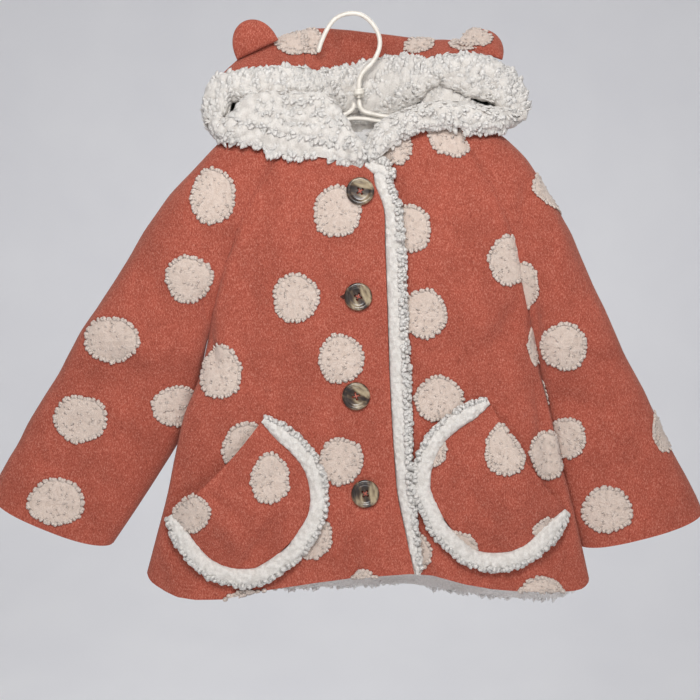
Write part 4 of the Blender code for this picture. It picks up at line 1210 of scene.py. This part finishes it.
# %% [markdown]
# ## Pouch pockets
# A pocket is a rounded piece of the outer cloth that is gathered into its pile
# binding, so it bellies out and its slanted mouth stands a little open. Its
# grid is laid on the front by dropping rays on it, then raised by a dome.

# %% Pockets
POCKET_TRIM_WIDTH = 16.0
POCKET_TRIM_RISE = 8.0
POCKET_DEPTH = 112.0
POCKET_HALF_WIDTH = 80.0
POCKET_LEAN = 6.0
POCKET_BULGE = 13.0
POCKET_MARGIN = 5.0
MOUTH_SAG = 5.0
TRIM_REACH = 8.0
LAYER_GAP = 0.5
Pocket = namedtuple("Pocket", "side middle_x middle_z along_x along_z down_x down_z")
POCKETS = [
    Pocket("right", -132, -451, 0.699, 0.715, 0.715, -0.699),
    Pocket("left", 176.0, -440.0, -0.586, 0.810, -0.810, -0.586),
]
POCKET_ROWS = [0.0, 0.1, 0.24, 0.4, 0.56, 0.72, 0.86, 0.96]
POCKET_COLUMNS = [-1.0, -0.8, -0.5, -0.2, 0.1, 0.4, 0.7, 0.9, 1.0]
POCKET_DIMPLES = {
    "right": [Fold(*row) for row in [
        (FRONT, -76, -500, -86, -538, 8, -5.0), (FRONT, -128, -500, -106, -532, 9, 4.0),
        (FRONT, -68, -450, -90, -472, 7, -3.4), (FRONT, -142, -474, -116, -494, 8, -3.4),
        (FRONT, -92, -520, -104, -548, 6, -3.0), (FRONT, -60, -478, -64, -520, 8, 2.6),
    ]],
    "left": [Fold(*row) for row in [
        (FRONT, 112, -468, 140, -506, 10, -4.6), (FRONT, 158, -476, 168, -524, 10, 3.6),
        (FRONT, 178, -460, 198, -492, 8, -3.4), (FRONT, 98, -436, 112, -470, 8, -3.0),
        (FRONT, 136, -520, 152, -540, 8, -3.2),
    ]],
}


def front_of(tree, x, z):
    """y, in mm, of a panel's face at (x, z), or None beside it."""
    place = tree.ray_cast((x, -300.0, z), (0, 1, 0), 600.0)[0]
    return None if place is None else place.y


def foremost(tree, x, z):
    """The foremost y of a panel's face close round (x, z)."""
    steps = (-TRIM_REACH, 0, TRIM_REACH)
    found = [front_of(tree, x + a, z + b) for a in steps for b in steps]
    found = [y for y in found if y is not None]
    return min(found) if found else body_y(x, z, FRONT) - CLOTH


def pocket_half_width(down, margin=0.0):
    """Half the pocket's width at a depth below its opening: full, and rounded below."""
    full = (POCKET_HALF_WIDTH - margin) * (1 - (down / (POCKET_DEPTH - margin)) ** 2.5) ** 0.4
    return full * (1 - 0.17 * max(0.0, 1 - down / 65))


def pocket_point(pocket, sideways, depth):
    """A point of the pocket's plan: along its mouth, and down from it."""
    middle = np.array([pocket.middle_x, pocket.middle_z])
    along = np.array([pocket.along_x, pocket.along_z])
    down = np.array([pocket.down_x, pocket.down_z])
    return middle + along * (sideways - POCKET_LEAN * depth / POCKET_DEPTH) + down * depth


def build_pocket(pocket, tree):
    """A pocket's cloth, laid on the front and bellied out."""
    coarse = []
    for share in POCKET_ROWS:
        depth = share * (POCKET_DEPTH - POCKET_MARGIN)
        half = pocket_half_width(depth, POCKET_MARGIN)
        row = []
        for side in POCKET_COLUMNS:
            sag = MOUTH_SAG * (1 - side * side) * (1 - share) ** 3
            x, z = pocket_point(pocket, half * side, depth + sag)
            dome = (1 - abs(side) ** 2.4) * math.sin(math.pi * (0.35 + 0.63 * share))
            row.append((x, foremost(tree, x, z) - CLOTH / 2 - LAYER_GAP - POCKET_BULGE * dome, z))
        coarse.append(row)
    grid, normals = turned(both_ways(coarse, 2.4)[0], (0, -1, 0))
    lift = 0.8 * waver(grid, 26.0, 9) + 0.4 * waver(grid, 11.0, 10)
    lift += crease_relief(grid, normals, POCKET_DIMPLES[pocket.side])
    grid = grid + normals * lift[..., None]
    cloth_panel("pocket_" + pocket.side, grid, grid_normals(grid))


front_tree = {"right": trees["front_right"], "left": trees["front_left"]}
for pocket in POCKETS:
    build_pocket(pocket, front_tree[pocket.side])

# %% [markdown]
# ## Pile edges
# The front's free edge and the pockets' rims are narrow rolls of the lining.
# Each is a half-round section swept along its line, raised in clumps, with
# locks that lean out over the cloth on both sides.

# %% Front band and pocket bindings
def build_roll(name, line, halves, across, rise, tree, seed, frill_from):
    """A soft raised roll along a line of (x, z) points, frilled past a share of its width."""
    profile = [(-math.cos(a), max(math.sin(a), 0) ** 0.62) for a in np.linspace(0, math.pi, 17)]
    grid = []
    for (x, z), half, way in zip(line, halves, across):
        ends = [foremost(tree, x + way[0] * half * s, z + way[1] * half * s) for s in (-1, 1)]
        row = []
        for sideways, height in profile:
            foot = ends[0] + (ends[1] - ends[0]) * (sideways + 1) / 2
            up = LAYER_GAP + rise * height * (half / max(halves)) ** 0.6
            row.append((x + way[0] * half * sideways, foot - up, z + way[1] * half * sideways))
        grid.append(row)
    grid = np.array(grid)
    normals = grid_normals(grid)
    if normals[..., 1].sum() > 0:
        normals = -normals
    clump = clumps(grid, 4.2)
    width = np.array([sideways for sideways, height in profile])[None]
    lift = 1.5 * clump + 0.8 * waver(grid, 9.0, 7)
    shaped = grid + normals * (lift * (1 - width ** 8))[..., None]
    rows, columns = grid.shape[:2]
    quads, _ = grid_faces(rows, columns)
    index = np.arange(rows * columns).reshape(rows, columns)
    foot = np.stack([index[:-1, -1], index[1:, -1], index[1:, 0], index[:-1, 0]], -1)
    faces = np.concatenate([quads, foot]).tolist()
    faces += [index[0].tolist(), index[-1, ::-1].tolist()]
    # Painted shade and light: lower between the clumps, higher on their tops.
    tip = np.clip(0.45 + 0.55 * clump, 0, 1)
    edited(finished(name + "_pile", shaped, faces, SHERPA, name, tip).data, faces_out)
    chance = np.random.default_rng(seed)
    keep = np.repeat((width > frill_from).astype(float), rows, axis=0)
    places, ways = scatter(shaped, normals, ROLL_GAP, chance, keep)
    gaps = np.linalg.norm(places[:, None, [0, 2]] - line[None], axis=2)
    outwards = across[np.argmin(gaps, axis=1)]
    nap = np.stack([outwards[:, 0], np.full(len(places), 0.1), outwards[:, 1]], axis=1)
    locks(name + "_locks", places, ways, nap, ROLL_LOCK, SHERPA, chance, 0.6, EDGE_PETAL)


ROLL_STEP = 1.5
BAND_CORNER = [(15.0, -150.5), (22.0, -151.0), (30.0, -154.0), (36.0, -160.0)]


def spaced(points, gap):
    """A line of points resampled by distance."""
    points = np.asarray(points, float)
    along = np.concatenate([[0], np.cumsum(np.linalg.norm(np.diff(points, axis=0), axis=1))])
    wanted = np.linspace(0, along[-1], round(along[-1] / gap) + 1)
    return np.stack([np.interp(wanted, along, points[:, k]) for k in range(points.shape[1])], axis=1)


def tapered(half, line, reach, least):
    """Half-widths that shrink towards both ends of a line."""
    from_end = np.minimum(np.arange(len(line)), np.arange(len(line))[::-1]) * ROLL_STEP
    return half * (least + (1 - least) * smooth_step(from_end / reach) ** 0.6)


def sideways(line):
    """Unit vectors across a line of (x, z) points, on the left of its way."""
    ahead = np.gradient(line, axis=0)
    ahead /= np.linalg.norm(ahead, axis=1, keepdims=True)
    return np.stack([-ahead[:, 1], ahead[:, 0]], axis=1)


edge = PANELS["front_right"][:, -1][:, [0, 2]]
edge = edge[edge[:, 1] < -160]
bands = read(FRONT_EDGE, "z", edge[:, 1], "band")
centres = edge + np.stack([LAYER_GAP + bands / 2, np.zeros(len(edge))], axis=1)
centres = spaced(np.concatenate([BAND_CORNER, centres]), ROLL_STEP)
halves = tapered(read(FRONT_EDGE, "z", centres[:, 1], "band") / 2, centres, 12.0, 0.45)
build_roll("front_band", centres, halves, sideways(centres), 7.0, trees["front_left"], 41, 0.1)

for number, pocket in enumerate(POCKETS):
    depths = [0.0, 10, 24, 40, 58, 74, 88, 98, 105]
    outline = [(-pocket_half_width(d), d) for d in depths]
    outline += [(s * 15.0, POCKET_DEPTH * (1 - 0.02 * s * s)) for s in (-1, 0, 1)]
    outline += [(pocket_half_width(d), d) for d in reversed(depths)]
    smooth = refine([pocket_point(pocket, a, d) for a, d in outline], steps=6)[0]
    line = spaced(smooth, ROLL_STEP)
    across = sideways(line)
    middle = np.array([pocket.middle_x, pocket.middle_z])
    if np.sum((line - middle) * across) < 0:
        across = -across
    halves = tapered(POCKET_TRIM_WIDTH / 2, line, 26.0, 0.3)
    name = "pocket_trim_" + pocket.side
    build_roll(name, line, halves, across, POCKET_TRIM_RISE, front_tree[pocket.side], 51 + number, 0.5)
print("rolls:", 1 + len(POCKETS))

# %% [markdown]
# ## Tufted dots
# The dots are patches of longer, cream loops in the cloth itself, cut and
# brushed up, so each stands about 1.5 mm proud and has a frilly rim. Each is
# grown over the finished cloth: from its middle, rays walk outwards along the
# surface, so a dot wraps round a fold and stops dead at a seam. The table
# gives each one's place and half-sizes as the photograph shows them. Hidden
# sides get others, as loosely spread.

# %% Tables of the dots
Dot = namedtuple("Dot", "px py rx ry")
FRONT_DOTS = {
    "sleeve_right": [
        (213, 196, 23, 29), (189, 279, 24, 24), (111, 340, 29, 24), (80, 419, 28, 24),
        (56, 502, 29, 24), (176, 406, 25, 21),
    ],
    "sleeve_left": [
        (552, 187, 25, 22), (524, 286, 17, 26), (563.5, 347, 24.5, 24.5), (566, 438, 21, 21),
        (668, 429, 17, 23), (607, 510, 26, 23.5),
    ],
    "front_right": [
        (220, 372, 23, 28), (337, 212, 24, 26), (296, 298, 23.5, 25), (341, 359, 23, 25),
        (341, 461, 22, 24), (248, 448, 26, 26), (312, 537, 21, 22), (248, 598, 22, 11),
        (364, 590, 15, 24),
    ],
    "front_left": [
        (408, 229, 24, 24), (424, 314, 23.5, 25), (439, 399, 25, 23), (509, 260, 22, 26),
        (452, 134, 24, 24), (411, 552, 22, 22), (539, 597, 25, 24), (547, 455, 22, 25),
        (536, 345, 9, 22), (396, 148, 17, 17),
    ],
    "pocket_right": [(270, 479, 20, 26), (190, 513, 22, 20)],
    "pocket_left": [(506, 450, 21, 27), (431, 447, 15, 20), (458, 545, 18, 17), (546, 529, 16, 12)],
    "hood_side_right": [(293, 42, 19, 17)],
    "hood_centre": [(311, 40, 12, 17), (420, 44, 17, 13)],
    "hood_side_left": [(464, 44, 16, 12)],
    "ear_left": [(472, 36, 22, 14)],
}
BACK_DOTS = {
    "back": [
        (290, 200, 24, 25), (372, 176, 24, 23), (452, 214, 24, 25), (338, 262, 24, 24),
        (414, 288, 23, 25), (494, 300, 24, 24), (262, 300, 24, 25), (300, 366, 24, 24),
        (376, 368, 25, 24), (458, 380, 24, 25), (534, 396, 23, 24), (232, 420, 24, 24),
        (330, 452, 24, 25), (412, 462, 24, 24), (500, 474, 25, 24), (262, 506, 24, 24),
        (352, 540, 24, 24), (444, 548, 24, 25), (548, 532, 24, 24), (196, 556, 24, 22),
        (296, 598, 24, 24), (500, 604, 24, 24),
    ],
    "sleeve_right": [
        (232, 176, 24, 26), (214, 256, 24, 24), (160, 300, 25, 24), (132, 384, 25, 24),
        (60, 446, 24, 24), (118, 478, 25, 24),
    ],
    "sleeve_left": [
        (496, 180, 23, 24), (534, 248, 24, 25), (582, 300, 24, 24), (592, 386, 24, 24),
        (634, 470, 25, 24),
    ],
    "hood_side_right": [(246, 92, 23, 19)],
    "hood_centre": [(352, 62, 23, 20), (404, 104, 22, 16)],
    "hood_side_left": [(484, 84, 24, 18)],
}
DOT_RISE = 1.5
DOT_RAYS = 66
DOT_RINGS = [0.16, 0.32, 0.47, 0.62, 0.76, 0.89, 1.0]
RIM_DRAWN_IN = 1.6
PETAL_GAP = 3.5
PETAL_LENGTH = 4.8
INNER_TUFTS = 30


# %% Growing a dot
def walk(tree, start, normal, heading, lengths):
    """Places at these lengths along a surface; past its edge the walk stands still."""
    place, normal, heading = start.copy(), normal.copy(), heading.copy()
    walked, found, stopped = 0.0, [], False
    for length in lengths:
        step = length - walked
        walked = length
        if not stopped:
            goal = place + heading * step
            near, side, _, _ = tree.find_nearest(goal)
            stopped = (near - goal).length > 0.45 * step + 0.3
            place = near
            if side.dot(normal) > 0.2:
                normal = side
            heading = (heading - normal * heading.dot(normal)).normalized()
        found.append((place.copy(), normal.copy()))
    return found


def reach(dot, offset, angle):
    """From a point inside a dot, how far its oval rim is at an angle."""
    way = (math.cos(angle) / dot.rx, math.sin(angle) / dot.ry)
    here = (offset[0] / dot.rx, offset[1] / dot.ry)
    a = way[0] ** 2 + way[1] ** 2
    b = way[0] * here[0] + way[1] * here[1]
    c = here[0] ** 2 + here[1] ** 2 - 1
    return (-b + math.sqrt(max(b * b - a * c, 0.0))) / a


def along_ray(ray, start, share):
    """The place and normal at a share of a walked ray."""
    rings = [0.0] + DOT_RINGS
    places = [start] + [place for place, _ in ray]
    ring = min(int(np.searchsorted(rings, share, side="right")) - 1, len(ray) - 1)
    part = (share - rings[ring]) / (rings[ring + 1] - rings[ring])
    return places[ring].lerp(places[ring + 1], part), ray[ring][1]


def grow_dot(tree, dot, face, chance):
    """Points, faces, tips, petals and tufts of one dot, or None where it misses its panel."""
    x, z = from_photo(dot.px, dot.py)
    eye = Vector((0, face * CAMERA_DISTANCE, VIEW_Z))
    aim = (Vector((x, 0, z)) - eye).normalized()
    start, normal, _, _ = tree.ray_cast(eye, aim)
    offset = (0.0, 0.0)
    if start is None:
        start, normal, _, _ = tree.find_nearest(Vector((x, face * 20.0, z)))
        offset = (start.x - x, start.z - z)
        if (offset[0] / dot.rx) ** 2 + (offset[1] / dot.ry) ** 2 > 0.95:
            return None
    right = (Vector((1, 0, 0)) - normal * normal.x).normalized()
    up = (Vector((0, 0, 1)) - normal * normal.z - right * right.z).normalized()
    shape = chance.uniform(0, 2 * math.pi, 2)
    rays, fars, spans = [], [], []
    for angle in 2 * math.pi * np.arange(DOT_RAYS) / DOT_RAYS:
        far = reach(dot, offset, angle)
        far *= 1 + 0.03 * math.sin(3 * angle + shape[0]) + 0.022 * math.sin(5 * angle + shape[1])
        span = max(far - RIM_DRAWN_IN, 0.8)
        heading = right * math.cos(angle) + up * math.sin(angle)
        rays.append(walk(tree, start, normal, heading, [span * share for share in DOT_RINGS]))
        fars.append(far)
        spans.append(span)
    points = [(start, normal, 0.0)]
    for ring, share in enumerate(DOT_RINGS):
        points += [(*rays[k][ring], share) for k in range(DOT_RAYS)]
    pebbles = clumps(np.array([tuple(place) for place, _, _ in points]), 3.6)
    spots, tips = [], []
    for (place, side, share), pebble in zip(points, pebbles):
        rise = (DOT_RISE + 0.7 * pebble - 0.35) * math.sqrt(1 - share ** 9)
        spots.append(tuple(place + side * rise))
        # Painted shade: lower between the pebbles and halved on the rim ring, so the ramp darkens those
        # points.
        tips.append((0.45 + 0.45 * pebble) * (1 - 0.5 * (share == 1)))
    petals, tufts = [], []
    count = max(6, round(sum(fars) / DOT_RAYS * 2 * math.pi / PETAL_GAP))
    for k in range(count):
        number = int((k + chance.uniform(0, 0.6)) * DOT_RAYS / count) % DOT_RAYS
        share = (fars[number] - PETAL_LENGTH * chance.uniform(0.8, 1.05)) / spans[number]
        place, side = along_ray(rays[number], start, max(0.0, share))
        petals.append((place + side * 0.7, side, rays[number][-1][0] - start))
    for _ in range(INNER_TUFTS):
        ray = rays[chance.integers(DOT_RAYS)]
        place, side = along_ray(ray, start, 0.75 * math.sqrt(chance.random()))
        tufts.append((place + side * (DOT_RISE - 0.4), side, ray[-1][0] - start))
    faces = [(0, 1 + k, 1 + (k + 1) % DOT_RAYS) for k in range(DOT_RAYS)]
    faces += [(1 + a, 1 + d, 1 + c, 1 + b) for a, b, c, d in ring_quads(len(DOT_RINGS), DOT_RAYS)]
    return spots, faces, tips, petals, tufts


def clean(mesh):
    """Melts the points of a mesh that piled up at a seam."""
    edited(
        mesh,
        lambda shaped: bmesh.ops.remove_doubles(shaped, verts=shaped.verts, dist=0.05 * MM),
        lambda shaped: bmesh.ops.dissolve_degenerate(shaped, dist=0.02 * MM, edges=shaped.edges),
    )
    mesh.shade_smooth()


def joined(parts):
    """Points and faces of several parts as one."""
    spots, faces = [], []
    for points, sides in parts:
        faces += [tuple(i + len(spots) for i in face) for face in sides]
        spots += points
    return spots, faces


def dots_on(panel, seed):
    """All of a panel's dots as one piece."""
    chance = np.random.default_rng(seed)
    grown = []
    for face, table in ((FRONT, FRONT_DOTS), (BACK, BACK_DOTS)):
        for dot in table.get(panel, []):
            made = grow_dot(trees[panel], Dot(*dot), face, chance)
            if made is None:
                print("  missed:", panel, dot)
            else:
                grown.append(made)
    spots, faces = joined([made[:2] for made in grown])
    tips, petals, tufts = (sum((made[k] for made in grown), []) for k in (2, 3, 4))
    name = panel + "_dots"
    pieces[name] = finished(name, spots, faces, TUFT, tip=tips, sharp=180)
    clean(pieces[name].data)
    kinds = (
        ("_petals", petals, (PETAL_LENGTH, 4.4), 0.2, RIM_PETAL),
        ("_tufts", tufts, (3.2, 3.0), 0.9, SHORT_TUFT),
    )
    for ending, rows, size, spread, shape in kinds:
        places, ways, nap = (np.array([tuple(t[k]) for t in rows]) for k in range(3))
        locks(panel + ending, places, ways, nap, size, TUFT, chance, spread, shape, 0.15)
    return len(grown)


dotted = sorted(set(FRONT_DOTS) | set(BACK_DOTS))
print("dots:", {panel: dots_on(panel, 60 + number) for number, panel in enumerate(dotted)})

# %% [markdown]
# ## Buttons
# A coat button is turned: a sunk middle, a raised rim and four sewing holes.
# A profile is spun round for the body, and the holes are cut with a Boolean,
# because real holes hold their own shadow. Two crossed strands of thread fill
# them. The four buttons share a mesh and are turned differently.

# %% Buttons
ButtonPlace = namedtuple("ButtonPlace", "x z turn")
BUTTONS = [ButtonPlace(*row) for row in [
    (10, -178, 0.2), (8, -282, 1.1), (6, -380, 0.5), (15, -476, 1.4),
]]
BUTTON_RADIUS = 13.8
BUTTON_THICKNESS = 4.2
BUTTON_PROFILE = [
    (0.30, 0.60), (0.56, 0.62), (0.64, 0.66), (0.70, 0.8), (0.77, 0.95), (0.84, 1.0), (0.90, 0.97),
    (0.95, 0.88), (0.985, 0.74), (1.0, 0.56), (0.99, 0.36), (0.96, 0.2), (0.9, 0.08), (0.8, 0.0),
]
HOLE_RADIUS = 1.25
HOLE_OFFSET = 3.1
THREAD_RADIUS = 0.36


def lathe(profile, steps):
    """Points and faces of a closed profile of (radius, height) spun round z."""
    points, faces = [], []
    for k in range(steps):
        angle = 2 * math.pi * k / steps
        points += [(r * math.cos(angle), r * math.sin(angle), h) for r, h in profile]
    count = len(profile)
    for k in range(steps):
        ahead = (k + 1) % steps
        for i in range(count - 1):
            a, b = k * count + i, ahead * count + i
            faces.append((a, a + 1, b + 1, b))
    return points, faces


def button_mesh():
    """A turned disc with a raised rim and four drilled holes."""
    r, t = BUTTON_RADIUS, BUTTON_THICKNESS
    outline = [(r * across, t * up) for across, up in BUTTON_PROFILE]
    outline = [(0.05, t * 0.60), *outline, (0.05, 0.0)]
    points, faces = lathe(outline, 72)
    mesh = bpy.data.meshes.new("button")
    mesh.from_pydata((np.array(points) * MM).tolist(), [], faces)
    edited(mesh, lambda s: bmesh.ops.remove_doubles(s, verts=s.verts, dist=0.12 * MM), faces_out)
    drill = bmesh.new()
    for quarter in range(4):
        angle = math.pi / 4 + quarter * math.pi / 2
        hole = bmesh.ops.create_cone(
            drill, cap_ends=True, segments=20, depth=3 * t * MM,
            radius1=HOLE_RADIUS * MM, radius2=HOLE_RADIUS * MM)
        place = Vector((math.cos(angle), math.sin(angle), 0)) * HOLE_OFFSET * MM
        bmesh.ops.translate(drill, verts=hole["verts"], vec=place)
    drill_mesh = bpy.data.meshes.new("button_drill")
    drill.to_mesh(drill_mesh)
    drill.free()
    body, cutter = in_scene("blank", mesh), in_scene("drill", drill_mesh)
    cut = body.modifiers.new("holes", "BOOLEAN")
    cut.operation = "DIFFERENCE"
    cut.object = cutter
    bpy.context.view_layer.update()
    made = bpy.data.meshes.new_from_object(body.evaluated_get(bpy.context.evaluated_depsgraph_get()))
    for each in (body, cutter):
        bpy.data.objects.remove(each)
    made.name = "button"
    made.materials.clear()
    made.materials.append(HORN)
    made.shade_smooth()
    made.set_sharp_from_angle(angle=math.radians(42))
    return made


def tube(points, radius, sides=8):
    """Points and faces of a closed tube along a line of points."""
    points = np.asarray(points, float)
    ahead = np.gradient(points, axis=0)
    ahead /= np.linalg.norm(ahead, axis=1, keepdims=True)
    guide = np.array([0.0, 0.0, 1.0]) if abs(ahead[:, 2]).mean() < 0.8 else np.array([0.0, 1.0, 0.0])
    side = np.cross(ahead, guide)
    side /= np.linalg.norm(side, axis=1, keepdims=True)
    up = np.cross(side, ahead)
    angles = np.arange(sides) * 2 * math.pi / sides
    spots = [
        place + radius * (s * math.cos(a) + u * math.sin(a))
        for place, s, u in zip(points, side, up) for a in angles
    ]
    last = (len(points) - 1) * sides
    ends = [tuple(range(sides))[::-1], tuple(range(last, last + sides))]
    return spots, ring_quads(len(points), sides) + ends


def cross_of_thread():
    """Two crossed strands, each two threads wide, sunk into the holes."""
    strands = []
    floor = BUTTON_THICKNESS * 0.6
    for turn in (math.pi / 4, -math.pi / 4):
        for sideways in (-0.32, 0.32):
            line = []
            for share in np.linspace(-1, 1, 11):
                along = share * HOLE_OFFSET * 0.78
                height = floor - 1.2 + 2.1 * (1 - abs(share) ** 5) + (0.35 if turn > 0 else 0)
                x = along * math.cos(turn) - sideways * math.sin(turn)
                y = along * math.sin(turn) + sideways * math.cos(turn)
                line.append((x, y, height))
            strands.append(tube(line, THREAD_RADIUS, 7))
    return joined(strands)


button = button_mesh()
cross = cross_of_thread()
for number, place in enumerate(BUTTONS, start=1):
    name = f"button_{number}"
    low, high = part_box(name)
    thread = finished(name + "_thread", *cross, THREAD)
    made = in_scene(name + "_turned", button)
    for each, node in ((made, name), (thread, None)):
        each.parent = None
        each.rotation_euler = (math.pi / 2, place.turn, 0)
        each.location = (place.x * MM, high.y, place.z * MM)
        riding(each, node)
print("buttons:", len(BUTTONS), "faces each:", len(button.polygons))

# %% [markdown]
# ## Buttonholes
# A worked buttonhole is a slit whose end is closed by a bar of tight stitches.
# The button hides all but that end, which shows beside two of them. Short
# strands are laid side by side over the cloth, and longer towards the slit.

# %% Buttonhole ends
HOLE_ENDS = [(0, -14.6), (1, -12.6)]
STITCH_STEP = 0.9
STITCH_RADIUS = 0.55
for number, start_x in HOLE_ENDS:
    place = BUTTONS[number]
    bars = []
    for step in range(6):
        x = place.x + start_x - STITCH_STEP * step
        half = 3.2 - 0.5 * step
        heights = (place.z - half, place.z, place.z + half)
        line = [(x, front_of(trees["front_right"], x, z) - 0.25, z) for z in heights]
        bars.append(tube(line, STITCH_RADIUS, 6))
    name = f"buttonhole_{number + 1}_stitches"
    pieces[name] = finished(name, *joined(bars), STITCH)
print("buttonhole ends:", len(HOLE_ENDS))

# %% [markdown]
# ## The hanger
# One length of steel wire is bent into a hook and a flat loop for the
# shoulders, twisted twice round its own stem and dipped in plastic. The route
# is a list of given points; a smooth curve through them carries the
# wire's round section.

# %% Hanger
WIRE_RADIUS = 2.3
HOOK_ROUTE = [
    (-32, -37), (-28.5, -26), (-23, -14), (-16, -4.5), (-7.5, 0.6), (2, 2.3),
    (11, 0.8), (20, -5.5), (26.8, -15), (29.8, -24.5), (28.8, -34.5),
    (23, -46), (14.5, -55), (9.8, -63), (9, -74), (9, -83),
]
ARMS_ROUTE = [
    (9, -84), (10, -91), (14, -96), (24, -98.8), (38, -101.5), (80, -107.5),
    (112, -112.3), (135, -119.9), (152, -132), (160, -140), (160, -146),
    (152, -146), (135, -133), (110, -123), (80, -116), (35, -107),
    (7, -103), (-14, -107.5), (-60, -123.5), (-102, -135), (-122, -147),
    (-133, -154), (-139, -152), (-137, -144.5), (-122, -130.6), (-100, -121),
    (-60, -114.5), (-15, -102), (-2, -97.5), (3.2, -92), (3.4, -87),
]
COLLAR_PLACE = (9.0, -77.0)
COLLAR_TURNS = 2
COLLAR_RADIUS = 3.3
COLLAR_RISE = 4.8


def wire(node, line):
    """A coated wire along a line of points, with rounded ends."""
    curve = bpy.data.curves.new(node + "_wire", "CURVE")
    curve.dimensions = "3D"
    curve.bevel_depth = WIRE_RADIUS * MM
    curve.bevel_resolution = 5
    curve.use_fill_caps = True
    spline = curve.splines.new("POLY")
    spline.points.add(len(line) - 1)
    for number, (point, place) in enumerate(zip(spline.points, line)):
        point.co = (*[c * MM for c in place], 1)
        from_end = min(number, len(line) - 1 - number)
        point.radius = (0.55, 0.85, 1.0)[min(from_end, 2)]
    curve.materials.append(WIRE)
    riding(in_scene(node + "_wire", curve), node)


def routed(route):
    """A smooth line of points, evenly spaced, through a route in the plane y = 0."""
    return [(x, 0.0, z) for x, z in spaced(refine(route, steps=8)[0], 1.5)]


wire("hanger_hook", routed(HOOK_ROUTE))
wire("hanger_arms", routed(ARMS_ROUTE))
helix = []
for share in np.linspace(0, 1, COLLAR_TURNS * 32 + 1):
    angle = 2 * math.pi * COLLAR_TURNS * share
    height = COLLAR_PLACE[1] + COLLAR_RISE * (share - 0.5)
    x, y = COLLAR_RADIUS * math.cos(angle), COLLAR_RADIUS * math.sin(angle)
    helix.append((COLLAR_PLACE[0] + x, y, height))
wire("hanger_collar", helix)
print("hook route:", len(HOOK_ROUTE), "points")

# %% [markdown]
# ## What each sheet was cut to
# Cloth keeps its area when it is hung, so the real area of each panel's middle
# surface is the area of its cut. The table gives the width and length of the
# rectangle that each was cut from, laid flat, and what goes with it. A sleeve's
# width goes all the way round it.

# %% Cut sizes
Cut = namedtuple("Cut", "piece width length rests_on extras")
CUTS = [
    Cut("front_right", 0.285, 0.47, ["hanger_arms"], ["front_band", "front_band_locks"]),
    Cut("front_left", 0.225, 0.485, ["hanger_arms"], []),
    Cut("back", 0.485, 0.5, ["hanger_arms"], []),
    Cut("sleeve_right", 0.355, 0.5, ["hanger_arms"], []),
    Cut("sleeve_left", 0.3, 0.48, ["hanger_arms"], []),
    Cut("hood_side_right", 0.215, 0.12, ["hood_lining"], ["ear_right"]),
    Cut("hood_centre", 0.21, 0.15, ["hood_lining"], []),
    Cut("hood_side_left", 0.195, 0.115, ["hood_lining"], ["ear_left"]),
    Cut("hood_lining", 0.26, 0.365, ["hanger_arms"], []),
    Cut("hood_lining_side_right", 0.085, 0.195, ["front_right"], []),
    Cut("hood_lining_side_left", 0.055, 0.18, ["front_left"], []),
    Cut("lining_back", 0.465, 0.5, ["back"], ["lining_back_neck_locks"]),
    Cut("lining_sleeve_right", 0.33, 0.19, ["sleeve_right"], []),
    Cut("lining_sleeve_left", 0.275, 0.18, ["sleeve_left"], []),
    Cut("pocket_right", 0.14, 0.12, ["front_right"], ["pocket_trim_right", "pocket_trim_right_locks"]),
    Cut("pocket_left", 0.14, 0.12, ["front_left"], ["pocket_trim_left", "pocket_trim_left_locks"]),
]


def longest(grid, axis):
    """The longest line of a grid along an axis, in metres."""
    return float(np.linalg.norm(np.diff(grid, axis=axis), axis=2).sum(axis=axis).max()) * MM


for cut in CUTS:
    middle = middles[cut.piece]
    across, along = longest(middle, 1), longest(middle, 0)
count = sum(len(p.vertices) - 2 for o in pieces.values() if o.type == "MESH" for p in o.data.polygons)
print("triangles of the cloth, pile and buttons:", count)

# %% [markdown]
# ## Finish

# %% Finish
print("scene built")
